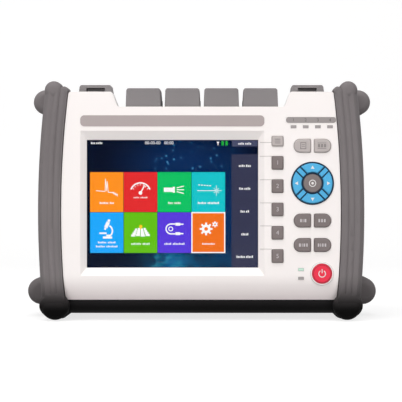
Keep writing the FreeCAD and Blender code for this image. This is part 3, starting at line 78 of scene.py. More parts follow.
TOE_X, TOE_Z, TOE_ROUND, TOE_EDGE = 102.0, 10.0, 9.8, 4.5
TOE_FRONT, TOE_BACK = -34.6, -12.0
LUG_X, STOP_Y, STOP_Z = 75.2, 0.2, 161.6
STOP_SIZE = (17.2, 2.0, 7.2)
PORT_X = [0.5 + 27.3 * step for step in (-1.5, -0.5, 0.5, 1.5)]
PORT_Y, PORT_TOP = -18.0, 157.0
THREAD_ROUND, THREAD_LOW, THREAD_PITCH = 4.0, 150.9, 0.8
SLEEVE_ROUND, SLEEVE_DEEP, FERRULE = 2.1, 5.0, 1.3
CONTACT_Y, CONTACT_Z, CONTACT_PITCH = -23.05, 142.6, 1.25
CASE_SCREWS = ((-88.6, 150.2), (88.6, 150.2), (-88.6, 20.4), (88.6, 20.4), (-30, 20.4), (30, 20.4))
CASE_SCREW_Y, DOOR_SCREW_X, DOOR_SCREW_Y, DOOR_SCREW_Z = -8.36, (-30.0, 30.0), 35.45, 142.8


# ---------------------------------------------------------------- mesh helpers

def place(x, y, z):
    return Matrix.Translation(Vector((x, y, z)) * MM)


def about_y(degrees):
    return Matrix.Rotation(math.radians(degrees), 4, "Y")


FACING = Matrix.Rotation(math.radians(90), 4, "X")      # a cylinder's axis from Z to Y


def block(mesh, middle, size, edge=0.0, turn=0.0):
    """Rounded box of a size in mm, turned about Y."""
    scale = Matrix.Diagonal(Vector(size) * MM).to_4x4()
    made = bmesh.ops.create_cube(mesh, size=1.0, matrix=place(*middle) @ about_y(turn) @ scale)
    if edge:
        edges = {e for v in made["verts"] for e in v.link_edges}
        bmesh.ops.bevel(mesh, geom=list(edges), offset=edge * MM, segments=2, profile=0.5,
                        affect="EDGES", material=-1)


def disc(mesh, middle, radius, depth, segments=32, turn=0.0):
    """Round or many-sided plate that faces the front."""
    bmesh.ops.create_cone(mesh, cap_ends=True, segments=segments, radius1=radius * MM,
                          radius2=radius * MM, depth=depth * MM,
                          matrix=place(*middle) @ about_y(turn) @ FACING)


def arc(mesh, middle, inner, outer, depth, start=0.0, sweep=360.0, segments=40):
    """Flat ring or part of one that faces the front; angles run clockwise from the top."""
    x, y, z = middle
    section = bmesh.ops.create_grid(
        mesh, x_segments=1, y_segments=1, size=0.5,
        matrix=place(x, y, z) @ about_y(start) @ place(0, 0, (inner + outer) / 2)
        @ Matrix.Rotation(math.radians(90), 4, "Y")
        @ Matrix.Diagonal(Vector((outer - inner, depth, 1)) * MM).to_4x4())
    faces = {f for v in section["verts"] for f in v.link_faces}
    around = Vector((x, y, z)) * MM
    if sweep >= 360:
        edges = {e for f in faces for e in f.edges}
        bmesh.ops.delete(mesh, geom=list(faces), context="FACES_ONLY")
        bmesh.ops.spin(mesh, geom=list(edges), cent=around, axis=(0, 1, 0),
                       angle=math.radians(360), steps=segments, use_merge=True)
    else:
        bmesh.ops.spin(mesh, geom=list(faces), cent=around, axis=(0, 1, 0),
                       angle=math.radians(sweep), steps=segments, use_merge=False)


def stroke(mesh, start, end, width, y, depth):
    """Straight bar between two points (x, z) of a plane that faces the front."""
    run, rise = end[0] - start[0], end[1] - start[1]
    length = math.hypot(run, rise)
    middle = ((start[0] + end[0]) / 2, y, (start[1] + end[1]) / 2)
    block(mesh, middle, (length, depth, width), turn=-math.degrees(math.atan2(rise, run)))


def shown(name, data):
    """Object in the scene's collection."""
    item = bpy.data.objects.new(name, data)
    bpy.context.scene.collection.objects.link(item)
    return item


def finished(name, mesh, body, look):
    """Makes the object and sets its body."""
    bmesh.ops.remove_doubles(mesh, verts=mesh.verts, dist=1e-7)
    bmesh.ops.recalc_face_normals(mesh, faces=mesh.faces)
    data = bpy.data.meshes.new(name)
    mesh.to_mesh(data)
    mesh.free()
    data.materials.append(look)
    piece = shown(name, data)
    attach(piece, body)
    return piece


def number(mesh, text, middle, size, depth):
    """Adds a plain number that faces the front."""
    curve = bpy.data.curves.new("number", "FONT")
    curve.body = text
    curve.size = size * MM
    curve.extrude = depth / 2 * MM
    curve.align_x, curve.align_y = "CENTER", "CENTER"
    curve.resolution_u = 3
    letter = shown("number", curve)
    bpy.context.view_layer.update()
    drawn = letter.evaluated_get(bpy.context.evaluated_depsgraph_get())
    flat = bpy.data.meshes.new_from_object(drawn)
    flat.transform(place(*middle) @ FACING)
    mesh.from_mesh(flat)
    bpy.data.objects.remove(letter)
    bpy.data.curves.remove(curve)
    bpy.data.meshes.remove(flat)


# ---------------------------------------------------------------- shared shader groups

def group_of(name, inputs, outputs):
    tree = bpy.data.node_groups.new(name, "ShaderNodeTree")
    for label, default in inputs:
        socket = tree.interface.new_socket(label, in_out="INPUT", socket_type="NodeSocketFloat")
        socket.default_value = default
    for label, kind in outputs:
        tree.interface.new_socket(label, in_out="OUTPUT", socket_type=kind)
    return tree, tree.nodes.new("NodeGroupInput"), tree.nodes.new("NodeGroupOutput")


def join(tree, source, output, target, socket):
    tree.links.new(source.outputs[output], target.inputs[socket])


def math_node(tree, operation, first, second=None):
    node = tree.nodes.new("ShaderNodeMath")
    node.operation = operation
    for index, item in enumerate((first, second)):
        if isinstance(item, (int, float)):
            node.inputs[index].default_value = item
        elif item is not None:
            tree.links.new(item, node.inputs[index])
    return node.outputs[0]


def noise(tree, coordinates, scale, detail=2.0, rough=0.5):
    node = tree.nodes.new("ShaderNodeTexNoise")
    tree.links.new(coordinates, node.inputs["Vector"])
    if isinstance(scale, (int, float)):
        node.inputs["Scale"].default_value = scale
    else:
        tree.links.new(scale, node.inputs["Scale"])
    node.inputs["Detail"].default_value = detail
    node.inputs["Roughness"].default_value = rough
    return node.outputs["Fac"]


def ramp(tree, value, low, high):
    """Smooth step of a value between two levels."""
    node = tree.nodes.new("ShaderNodeMapRange")
    node.interpolation_type = "SMOOTHSTEP"
    tree.links.new(value, node.inputs["Value"])
    node.inputs["From Min"].default_value = low
    node.inputs["From Max"].default_value = high
    return node.outputs["Result"]


def make_grain_group():
    """Spark-eroded mould grain, cloudy tone and fine scuffs."""
    tree, given, result = group_of(
        "mould_grain", [("Grain Size", 2600.0), ("Cloud Size", 22.0)],
        [("Height", "NodeSocketFloat"), ("Cloud", "NodeSocketFloat"), ("Scuff", "NodeSocketFloat")])
    where = tree.nodes.new("ShaderNodeTexCoord").outputs["Object"]
    pits = noise(tree, where, given.outputs["Grain Size"], 1.0, 0.6)
    cloud = ramp(tree, noise(tree, where, given.outputs["Cloud Size"], 3.0), 0.32, 0.68)
    streak = tree.nodes.new("ShaderNodeMapping")
    streak.inputs["Rotation"].default_value = (0.3, 0.6, 0.2)
    streak.inputs["Scale"].default_value = (1.0, 1.0, 9.0)
    tree.links.new(where, streak.inputs["Vector"])
    scuff = ramp(tree, noise(tree, streak.outputs["Vector"], 160.0, 4.0, 0.7), 0.63, 0.76)
    tree.links.new(pits, result.inputs["Height"])
    tree.links.new(cloud, result.inputs["Cloud"])
    tree.links.new(scuff, result.inputs["Scuff"])
    return tree


def make_edge_group():
    """Soft moulded edges, and a mask where they are rubbed."""
    tree, given, result = group_of(
        "rubbed_edges", [("Amount", 0.5), ("Round", 0.45 * MM)],
        [("Mask", "NodeSocketFloat"), ("Normal", "NodeSocketVector")])
    where = tree.nodes.new("ShaderNodeTexCoord").outputs["Object"]
    soft = tree.nodes.new("ShaderNodeBevel")
    soft.samples = 4
    join(tree, given, "Round", soft, "Radius")
    plain = tree.nodes.new("ShaderNodeNewGeometry")
    dot = tree.nodes.new("ShaderNodeVectorMath")
    dot.operation = "DOT_PRODUCT"
    join(tree, soft, "Normal", dot, 0)
    join(tree, plain, "Normal", dot, 1)
    bend = math_node(tree, "SUBTRACT", 1.0, dot.outputs["Value"])
    rubbed = math_node(tree, "MULTIPLY", ramp(tree, bend, 0.02, 0.22),
                       ramp(tree, noise(tree, where, 90.0, 3.0), 0.4, 0.62))
    amount = math_node(tree, "MULTIPLY", rubbed, given.outputs["Amount"])
    tree.links.new(amount, result.inputs["Mask"])
    join(tree, soft, "Normal", result, "Normal")
    return tree


def make_dust_group():
    """Thin dust on faces that look up and in broad patches."""
    tree, given, result = group_of("settled_dust", [("Amount", 0.2)], [("Mask", "NodeSocketFloat")])
    where = tree.nodes.new("ShaderNodeTexCoord").outputs["Object"]
    plain = tree.nodes.new("ShaderNodeNewGeometry")
    parts = tree.nodes.new("ShaderNodeSeparateXYZ")
    join(tree, plain, "Normal", parts, "Vector")
    up = ramp(tree, parts.outputs["Z"], 0.35, 0.95)
    patch = ramp(tree, noise(tree, where, 48.0, 4.0, 0.6), 0.42, 0.7)
    mask = math_node(tree, "MULTIPLY", up, patch)
    mask = math_node(tree, "MULTIPLY", mask, given.outputs["Amount"])
    tree.links.new(mask, result.inputs["Mask"])
    return tree


GRAIN, EDGES, DUST = make_grain_group(), make_edge_group(), make_dust_group()


# ---------------------------------------------------------------- finishes

def put_group(tree, group, **values):
    node = tree.nodes.new("ShaderNodeGroup")
    node.node_tree = group
    for label, amount in values.items():
        node.inputs[label.replace("_", " ")].default_value = amount
    return node


def blend_colour(tree, factor, first, second):
    node = tree.nodes.new("ShaderNodeMix")
    node.data_type = "RGBA"
    tree.links.new(factor, node.inputs["Factor"])
    for socket, item in ((node.inputs[6], first), (node.inputs[7], second)):
        if isinstance(item, tuple):
            socket.default_value = (*item, 1.0)
        else:
            tree.links.new(item, socket)
    return node.outputs[2]


def linear(colour):
    """Screen colour 0-255 to the value a shader takes."""
    return tuple(c / 3294.6 if c <= 10.31 else ((c / 255 + 0.055) / 1.055) ** 2.4 for c in colour)


def sole_mask(tree, low, high):
    """Mask of painted shade: 1 at the ground, 0 above; fainter towards the back."""
    parts = tree.nodes.new("ShaderNodeSeparateXYZ")
    tree.links.new(tree.nodes.new("ShaderNodeTexCoord").outputs["Object"], parts.inputs[0])
    near = ramp(tree, parts.outputs["Z"], high * MM, low * MM)
    front = math_node(tree, "MULTIPLY", ramp(tree, parts.outputs["Y"], 6 * MM, -16 * MM), 0.6)
    return math_node(tree, "MULTIPLY", near, math_node(tree, "ADD", front, 0.4))


def new_look(name):
    """Material, its node tree and its shader."""
    look = bpy.data.materials.new(name)
    look.use_nodes = True
    return look, look.node_tree, look.node_tree.nodes["Principled BSDF"]


DUST_COLOUR = (176, 168, 160)


def surface(name, colour, rough=0.45, metal=0.0, grain=0.06, grain_size=2600.0, tone=0.9,
            rubbed=1.15, wear=0.4, dust=0.0, coat=0.0, spread=0.07, painted_ground_shade=None, gloss=0.5,
            edge=0.45):
    """Finish with grain, cloudy tone, rubbed edges, scuffs and dust.

    The painted ground shade darkens it towards the ground, where the lower faces fall into shade:
    its low and high level and its colour.
    """
    look, tree, shader = new_look(name)
    base = linear(colour)
    darker = tuple(c * tone for c in base)
    lighter = tuple(min(1.0, c * rubbed + 0.004) for c in base)
    mould = put_group(tree, GRAIN, Grain_Size=grain_size)
    edges = put_group(tree, EDGES, Amount=wear, Round=edge * MM)
    tint = blend_colour(tree, mould.outputs["Cloud"], base, darker)
    tint = blend_colour(tree, edges.outputs["Mask"], tint, lighter)
    if dust:
        film = put_group(tree, DUST, Amount=dust)
        tint = blend_colour(tree, film.outputs["Mask"], tint, linear(DUST_COLOUR))
    shader.inputs["Specular IOR Level"].default_value = gloss
    # painted shade: the colour darkens towards the ground, in place of the shade under the object's
    # lower faces
    if painted_ground_shade:
        low, high, shade = painted_ground_shade
        tint = blend_colour(tree, sole_mask(tree, low, high), tint, linear(shade))
    tree.links.new(tint, shader.inputs["Base Color"])
    polish = math_node(tree, "MULTIPLY", mould.outputs["Cloud"], spread)
    scuffed = math_node(tree, "MULTIPLY", mould.outputs["Scuff"], spread)
    total = math_node(tree, "ADD", math_node(tree, "ADD", polish, scuffed), rough)
    tree.links.new(total, shader.inputs["Roughness"])
    bump = tree.nodes.new("ShaderNodeBump")
    bump.inputs["Strength"].default_value = min(1.0, grain * 4)
    bump.inputs["Distance"].default_value = 0.25 * grain * MM
    join(tree, mould, "Height", bump, "Height")
    join(tree, edges, "Normal", bump, "Normal")
    join(tree, bump, "Normal", shader, "Normal")
    shader.inputs["Metallic"].default_value = metal
    shader.inputs["Coat Weight"].default_value = coat
    shader.inputs["Coat Roughness"].default_value = 0.2
    return look


def glowing(name, colour):
    """Lit picture element: a faint grid of dots varies its brightness."""
    look, tree, shader = new_look(name)
    where = tree.nodes.new("ShaderNodeTexCoord").outputs["Object"]
    dots = ramp(tree, noise(tree, where, 900.0, 1.0), 0.3, 0.7)
    full = linear(colour)
    tint = blend_colour(tree, dots, full, tuple(c * 0.93 for c in full))
    tree.links.new(tint, shader.inputs["Emission Color"])
    shader.inputs["Emission Strength"].default_value = 1.0
    dark = blend_colour(tree, dots, tuple(c * 0.04 for c in full), tuple(c * 0.03 for c in full))
    tree.links.new(dark, shader.inputs["Base Color"])
    shader.inputs["Roughness"].default_value = 0.6
    shader.inputs["Specular IOR Level"].default_value = 0.0
    return look


def clear_window(name):
    """Hard-coated screen window, with faint smears in its gloss."""
    look, tree, shader = new_look(name)
    where = tree.nodes.new("ShaderNodeTexCoord").outputs["Object"]
    smear = math_node(tree, "MULTIPLY", ramp(tree, noise(tree, where, 35.0, 3.0), 0.4, 0.7), 0.05)
    tree.links.new(math_node(tree, "ADD", smear, 0.03), shader.inputs["Roughness"])
    shader.inputs["Transmission Weight"].default_value = 1.0
    shader.inputs["IOR"].default_value = 1.15
    shader.inputs["Base Color"].default_value = (1, 1, 1, 1)
    return look


def wallpaper_look():
    """Screen ground: deep navy with a blue haze and a teal glow at the bottom."""
    look, tree, shader = new_look("screen_ground")
    where = tree.nodes.new("ShaderNodeTexCoord").outputs["Object"]

    def spot(x, z, wide, tall):
        """Round mask about a point of the screen, 1 in its middle."""
        mapping = tree.nodes.new("ShaderNodeMapping")
        mapping.vector_type = "TEXTURE"
        mapping.inputs["Location"].default_value = Vector((x, LCD_FRONT, z)) * MM
        mapping.inputs["Scale"].default_value = Vector((wide, 100, tall)) * MM
        tree.links.new(where, mapping.inputs["Vector"])
        length = tree.nodes.new("ShaderNodeVectorMath")
        length.operation = "LENGTH"
        join(tree, mapping, "Vector", length, 0)
        return ramp(tree, length.outputs["Value"], 1.0, 0.0)

    def patchy(mask, scale, low, high):
        cloud = ramp(tree, noise(tree, where, scale, 4.0, 0.6), low, high)
        return math_node(tree, "MULTIPLY", mask, cloud)

    navy, haze, side_haze = linear((0, 5, 28)), linear((2, 38, 84)), linear((3, 42, 88))
    glow, bright_glow, spark = linear((6, 96, 146)), linear((44, 160, 184)), linear((60, 140, 200))
    ground = blend_colour(tree, spot(-12, 110, 62, 30), navy, haze)
    ground = blend_colour(tree, spot(20, 74, 22, 60), ground, side_haze)
    ground = blend_colour(tree, patchy(spot(-12, 41, 50, 14), 60.0, 0.25, 0.65), ground, glow)
    ground = blend_colour(tree, patchy(spot(-24, 41, 24, 8), 140.0, 0.45, 0.7), ground, bright_glow)
    stars = tree.nodes.new("ShaderNodeTexVoronoi")
    stars.inputs["Scale"].default_value = 260.0
    tree.links.new(where, stars.inputs["Vector"])
    sparks = math_node(tree, "MULTIPLY", ramp(tree, stars.outputs["Distance"], 0.3, 0.08),
                       spot(-8, 113, 44, 20))
    ground = blend_colour(tree, sparks, ground, spark)
    tree.links.new(ground, shader.inputs["Emission Color"])
    shader.inputs["Emission Strength"].default_value = 1.0
    unlit = blend_colour(tree, sparks, (0.0, 0.0, 0.002), (0.002, 0.004, 0.008))
    tree.links.new(unlit, shader.inputs["Base Color"])
    shader.inputs["Roughness"].default_value = 0.6
    shader.inputs["Specular IOR Level"].default_value = 0.0
    return look


# the ground-shade entries paint shade into the lower part of the case, the housing's lip and the
# guards' feet
FINISHES = {
    "white_case": dict(colour=(249, 244, 242), rough=0.42, grain=0.035, grain_size=3000, tone=0.985,
                       rubbed=1.02, wear=0.25, spread=0.05, painted_ground_shade=(8, 34, (246, 236, 236))),
    "grey_housing": dict(colour=(40, 39, 40), rough=0.55, grain=0.12, tone=0.86, rubbed=1.7,
                         wear=0.6, dust=0.08, painted_ground_shade=(6, 16, (4, 4, 4)), gloss=0.05),
    "guard_rubber": dict(colour=(124, 119, 120), rough=0.62, grain=0.16, grain_size=1500, tone=0.93,
                         rubbed=1.16, wear=0.6, dust=0.06, painted_ground_shade=(6, 34, (6, 6, 6)), gloss=0.05),
    "cap_plastic": dict(colour=(130, 126, 127), rough=0.5, grain=0.12, grain_size=2000, tone=0.94,
                        rubbed=1.2, wear=0.55),
    "title_film": dict(colour=(176, 165, 164), rough=0.38, grain=0.03, tone=0.97, rubbed=1.1),
    "legend_film": dict(colour=(154, 148, 147), rough=0.38, grain=0.03, tone=0.97, rubbed=1.1),
    "light_pipe": dict(colour=(164, 158, 157), rough=0.3, grain=0.02, tone=0.94, rubbed=1.1,
                       coat=0.3),
    "mint_lens": dict(colour=(206, 240, 222), rough=0.28, grain=0.02, tone=0.95, rubbed=1.02,
                      coat=0.3),
    "dark_key": dict(colour=(124, 114, 113), rough=0.5, grain=0.06, grain_size=2600, tone=0.94,
                     rubbed=1.3, wear=0.6, edge=0.9),
    "light_key": dict(colour=(186, 178, 176), rough=0.5, grain=0.06, tone=0.95, rubbed=1.12,
                      edge=0.9),
    "ring_navy": dict(colour=(10, 50, 78), rough=0.4, grain=0.04, tone=0.85, rubbed=1.5, gloss=0.3),
    "arrow_blue": dict(colour=(74, 178, 228), rough=0.4, grain=0.04, tone=0.94, rubbed=1.15,
                       edge=0.7),
    "power_red": dict(colour=(243, 34, 70), rough=0.4, grain=0.03, tone=0.93, rubbed=1.15,
                      edge=0.9),
    # painted shade: dark red for the shaded rim of the domed power key
    "power_painted_shade": dict(colour=(186, 22, 52), rough=0.4, grain=0.03, tone=0.93, rubbed=1.1),
    "ring_white": dict(colour=(250, 247, 245), rough=0.3, grain=0.02, tone=0.98, rubbed=1.02),
    "black_rubber": dict(colour=(22, 22, 23), rough=0.7, grain=0.1, tone=0.8, rubbed=1.6),
    "dark_plastic": dict(colour=(46, 46, 48), rough=0.5, grain=0.08, tone=0.85, rubbed=1.5),
    "board_green": dict(colour=(18, 78, 48), rough=0.4, grain=0.06, tone=0.8, rubbed=1.3, coat=0.4),
    "plated_steel": dict(colour=(196, 197, 199), rough=0.28, metal=1.0, grain=0.04, grain_size=4200,
                         tone=0.9, rubbed=1.1),
    "blackened_steel": dict(colour=(70, 70, 73), rough=0.36, metal=1.0, grain=0.05, tone=0.85,
                            rubbed=1.7),
    "cast_metal": dict(colour=(168, 170, 173), rough=0.42, metal=1.0, grain=0.1, grain_size=1400,
                       tone=0.9, rubbed=1.1),
    "turned_brass": dict(colour=(196, 156, 82), rough=0.3, metal=1.0, grain=0.05, tone=0.9,
                         rubbed=1.15),
    "battery_wrap": dict(colour=(40, 42, 48), rough=0.3, grain=0.02, tone=0.9, rubbed=1.5,
                         coat=0.4),
    "white_ceramic": dict(colour=(240, 238, 230), rough=0.25, grain=0.02, tone=0.97, rubbed=1.0),
    "gilt_contact": dict(colour=(214, 172, 86), rough=0.25, metal=1.0, grain=0.03, tone=0.9,
                         rubbed=1.1),
    "key_print": dict(colour=(206, 201, 203), rough=0.5, grain=0.02, tone=0.94, rubbed=1.0),
    "faint_print": dict(colour=(140, 134, 133), rough=0.5, grain=0.02, tone=0.94, rubbed=1.0),
    "white_print": dict(colour=(240, 238, 236), rough=0.5, grain=0.02, tone=0.95, rubbed=1.0),
    "grey_print": dict(colour=(196, 190, 188), rough=0.5, grain=0.02, tone=0.95, rubbed=1.0),
    "dark_print": dict(colour=(92, 86, 86), rough=0.5, grain=0.02, tone=0.92, rubbed=1.0),
}
LOOKS = {name: surface(name, **values) for name, values in FINISHES.items()}
LOOKS["screen_window"] = clear_window("screen_window")

NODE_LOOKS = {
    "white_case": ["front_cover"],
    "grey_housing": ["rear_housing", "battery_door"],
    "guard_rubber": ["left_bumper", "right_bumper"],
    "cap_plastic": ["strap_lug_left", "strap_lug_right", "kickstand"]
                   + ["port_cap_%d" % n for n in range(1, 5)],
    "title_film": ["title_strip"],
    "legend_film": ["status_strip"],
    "light_pipe": ["status_leds", "power_leds"],
    "dark_key": ["soft_key_%d" % n for n in range(1, 6)]
                + ["function_key_%d" % n for n in range(1, 5)] + ["centre_key"],
    "light_key": ["menu_key", "pad_key_left", "pad_key_right"],
    "ring_navy": ["nav_base"],
    "arrow_blue": ["nav_spokes"]
                  + ["arrow_key_" + way for way in ("up", "right", "down", "left")],
    "power_red": ["power_key"],
    "ring_white": ["power_ring"],
    "black_rubber": ["housing_seal", "screen_gasket"],
    "dark_plastic": ["port_plate", "dc_socket"],
    "board_green": ["keypad_board", "main_board"],
    "plated_steel": ["fault_locator_port", "otdr_port", "meter_port", "usb_socket", "dome_switches",
                     "lcd_bracket", "cap_hinge_pins", "stand_pins"],
    "blackened_steel": ["case_screws", "door_screws"],
    "cast_metal": ["optical_module", "lcd_module"],
    "turned_brass": ["board_posts"],
    "battery_wrap": ["battery_pack"],
    "screen_window": ["screen_window"],
}


def dress_nodes():
    for look, names in NODE_LOOKS.items():
        for name in names:
            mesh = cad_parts[name].data
            mesh.materials.clear()
            mesh.materials.append(LOOKS[look])


# ---------------------------------------------------------------- screen picture

EYE = Vector((15, 83.5))        # where the viewer's line meets the front face
DEEPER = 1.0071                 # the picture lies behind the face


def seen(x, z):
    """Point of the picture that lines up with a point of the face."""
    return EYE.x + (x - EYE.x) * DEEPER, EYE.y + (z - EYE.y) * DEEPER


def flat_block(mesh, left, right, low, high, y):
    (x0, z0), (x1, z1) = seen(left, low), seen(right, high)
    block(mesh, ((x0 + x1) / 2, y, (z0 + z1) / 2), (x1 - x0, INK_DEEP, z1 - z0))


def screen_piece(name, mesh, look):
    return finished(name, mesh, "case", look)


def make_screen_ground():
    mesh = bmesh.new()
    flat_block(mesh, *SCREEN, LCD_FRONT - 0.03)
    screen_piece("screen_ground", mesh, wallpaper_look())


TILE_COLOURS = (((255, 145, 30), (224, 42, 44), (8, 192, 98), (18, 194, 202)),
                ((26, 166, 250), (98, 190, 16), (88, 58, 218), (240, 112, 28)))


def make_tiles():
    for row, colours in enumerate(TILE_COLOURS):
        for column, colour in enumerate(colours):
            mesh = bmesh.new()
            flat_block(mesh, COLUMNS[column] + TILE_GAP, COLUMNS[column + 1] - TILE_GAP,
                       ROWS[row + 1] + TILE_GAP, ROWS[row] - TILE_GAP, ART)
            screen_piece("tile_%d_%d" % (row + 1, column + 1), mesh,
                         glowing("tile_glow_%d_%d" % (row, column), colour))


def tile_middle(row, column):
    return ((COLUMNS[column] + COLUMNS[column + 1]) / 2, (ROWS[row] + ROWS[row + 1]) / 2 + 2.6)


class Ink:
    """Draws flat marks on the picture, in mm from a middle point."""

    def __init__(self, x, z, step=INK_STEP):
        self.mesh = bmesh.new()
        self.x, self.z = seen(x, z)
        self.y = ART - step

    def line(self, x0, z0, x1, z1, width=0.5):
        stroke(self.mesh, (self.x + x0, self.z + z0), (self.x + x1, self.z + z1), width, self.y,
               INK_DEEP)

    def dot(self, x, z, radius, segments=20, turn=0.0):
        disc(self.mesh, (self.x + x, self.y, self.z + z), radius, INK_DEEP, segments, turn)

    def ring(self, x, z, inner, outer, start=0.0, sweep=360.0):
        arc(self.mesh, (self.x + x, self.y, self.z + z), inner, outer, INK_DEEP, start, sweep, 28)

    def bar(self, x, z, wide, tall, turn=0.0):
        block(self.mesh, (self.x + x, self.y, self.z + z), (wide, INK_DEEP, tall), turn=turn)

    def words(self, z, widths, tall=1.5, gap=0.9):
        """A caption shown as rows of plain blocks, some lower than others."""
        x = -(sum(widths) + gap * (len(widths) - 1)) / 2
        for wide in widths:
            count = max(2, round(wide / 1.05))
            for step in range(count):
                high = tall if (step + count) % 3 == 0 else tall * 0.76
                self.bar(x + (step + 0.5) * wide / count, z - (tall - high) / 2,
                         wide / count * 0.62, high)
            x += wide + gap


def make_icons(white, yellow):
    trace = Ink(*tile_middle(0, 0))
    trace.line(-7.4, -1.6, -1.1, -2.2, 0.45)
    trace.line(-1.1, -2.2, -0.9, 6.8, 0.4)
    trace.line(-0.9, 6.8, -0.1, -1.8, 0.4)
    trace.line(-0.1, -1.8, 0.3, 5.0, 0.4)
    trace.line(0.3, 5.0, 1.1, -2.8, 0.4)
    trace.line(1.1, -2.8, 4.2, -3.0, 0.5)
    for step in range(6):
        trace.bar(4.4 + 0.6 * step, -3.0 - 0.35 * step, 0.45, 1.1 + 0.7 * (step % 2))
    trace.words(-10.2, (6.2, 3.0))
    screen_piece("icon_trace", trace.mesh, white)

    meter = Ink(*tile_middle(0, 1))
    meter.ring(0, -3.2, 6.6, 7.5, -70, 140)
    for turn in range(-60, 61, 20):
        lean = math.radians(turn)
        meter.line(5.2 * math.sin(lean), 5.2 * math.cos(lean) - 3.2, 6.3 * math.sin(lean),
                   6.3 * math.cos(lean) - 3.2, 0.45)
    meter.line(0, -3.2, 3.0, 2.2, 0.8)
    meter.dot(0, -3.2, 1.3)
    meter.words(-6.4, (4.0, 5.0), 1.0)
    screen_piece("icon_meter", meter.mesh, white)

    lamp = Ink(*tile_middle(0, 2))
    lamp.bar(-4.2, -1.0, 6.4, 3.0)
    lamp.bar(-0.4, -1.0, 1.4, 4.2)
    for rise in (-2.6, 0, 2.6):
        lamp.line(1.6, -1.0 + rise * 0.5, 6.6, -1.0 + rise, 0.6)
    lamp.words(-10.2, (3.4, 4.6))
    screen_piece("icon_lamp", lamp.mesh, white)

    source = Ink(*tile_middle(0, 3))
    source.line(-7.8, -1.6, 5.6, -1.6, 0.4)
    for step in range(8):
        lean = math.pi * step / 4
        reach = (3.6, 2.4)[step % 2]
        source.line(5.6 + 0.5 * math.sin(lean), -1.6 + 0.5 * math.cos(lean),
                    5.6 + reach * math.sin(lean), -1.6 + reach * math.cos(lean), 0.28)
    for step in range(5):
        source.bar(-6.4 + 1.9 * step, 2.4 - 0.15 * step, 1.1, 0.6)
    source.words(-10.2, (6.0, 8.2))
    screen_piece("icon_source", source.mesh, white)

    scope = Ink(*tile_middle(1, 0))
    scope.bar(0.2, 2.8, 2.4, 4.2, 24)
    scope.bar(1.5, 5.7, 1.7, 1.8, 24)
    scope.bar(-1.0, 0.1, 1.3, 1.4, 24)
    scope.ring(-0.2, -1.4, 3.7, 4.7, 30, 120)
    scope.bar(0.6, -6.0, 6.4, 1.5)
    scope.bar(-2.6, -3.0, 5.0, 1.1)
    scope.bar(1.0, -4.6, 2.6, 1.2)
    scope.words(-9.4, (6.0, 5.6), 1.3)
    scope.words(-12.2, (6.4, 8.0), 1.3)
    screen_piece("icon_scope", scope.mesh, white)

    sheet = Ink(*tile_middle(1, 1))
    panels = 4
    for rise, wide in ((-4.6, 13.4), (-3.2, 11.6), (-1.8, 9.8), (-0.4, 8.0)):
        for step in range(panels):
            sheet.bar((step - 1.5) * wide / panels, rise + 0.35 * (step % 2),
                      wide / panels - 0.45, 1.5)
    sheet.words(-10.4, (7.0, 5.2), 1.4)
    screen_piece("icon_chart", sheet.mesh, white)
    pin = Ink(*tile_middle(1, 1), step=0.1)
    pin.dot(0.2, 1.7, 1.2)
    pin.dot(0.2, 0.2, 0.9, 3, 180)
    screen_piece("icon_chart_pin", pin.mesh, yellow)

    loop = Ink(*tile_middle(1, 2))
    loop.ring(-2.4, 0.0, 3.0, 3.9, 180, 180)
    for side in (-1, 1):
        loop.line(-2.4, side * 3.45, 0.6, side * 3.45, 0.9)
        loop.bar(2.4, side * 3.3, 3.4, 2.0)
        loop.bar(5.2, side * 3.3, 2.2, 0.9)
    loop.ring(-2.6, 0.0, 1.1, 1.7)
    loop.words(-10.4, (5.0, 8.4), 1.4)
    screen_piece("icon_loop", loop.mesh, white)

    cog = Ink(*tile_middle(1, 3))
    for x, z, size, teeth in ((-1.6, 0.0, 3.1, 8), (4.6, 3.2, 1.5, 6)):
        cog.ring(x, z, size * 0.42, size)
        for step in range(teeth):
            lean = 2 * math.pi * step / teeth
            cog.bar(x + size * 1.14 * math.sin(lean), z + size * 1.14 * math.cos(lean),
                    size * 0.42, size * 0.62, math.degrees(lean))
    cog.words(-10.4, (9.0,), 1.2)
    screen_piece("icon_cog", cog.mesh, white)

    border = bmesh.new()
    left, right, low, high = COLUMNS[3] - 0.1, COLUMNS[4], ROWS[2], ROWS[1] + 0.1
    for edges in ((left, right, high - BORDER, high), (left, right, low, low + BORDER),
                  (left, left + BORDER, low, high), (right - BORDER, right, low, high)):
        flat_block(border, *edges, ART - INK_STEP)
    screen_piece("tile_border", border, white)


def make_side_menu(white):
    slate = glowing("menu_slate", (53, 55, 80))
    lifted = glowing("menu_slate_line", (44, 44, 66))
    bright = glowing("menu_head", (72, 76, 104))
    mesh = bmesh.new()
    flat_block(mesh, MENU_LEFT, MENU_RIGHT, MENU_TOPS[-1], MENU_TOPS[0], ART)
    screen_piece("menu_field", mesh, slate)
    mesh = bmesh.new()
    for height in MENU_TOPS[1:-1]:
        flat_block(mesh, MENU_LEFT, MENU_RIGHT, height - 0.25, height + 0.25, ART - INK_STEP)
    screen_piece("menu_lines", mesh, lifted)
    mesh = bmesh.new()
    flat_block(mesh, MENU_LEFT + 0.4, MENU_RIGHT - 0.4, *MENU_HEAD, ART)
    screen_piece("menu_head", mesh, bright)
    for row, widths in enumerate(((4.4, 3.6), (3.0, 4.4), (3.2, 2.4), (5.2,), (6.0, 5.2))):
        words = Ink(MENU_MIDDLE, (MENU_TOPS[row] + MENU_TOPS[row + 1]) / 2, 0.1)
        words.words(0, widths, 1.7, 0.6)
        screen_piece("menu_entry_%d" % (row + 1), words.mesh, white)
    words = Ink(MENU_MIDDLE, sum(MENU_HEAD) / 2, 0.1)
    words.words(0, (4.2, 4.4), 1.5, 0.6)
    screen_piece("menu_head_entry", words.mesh, white)


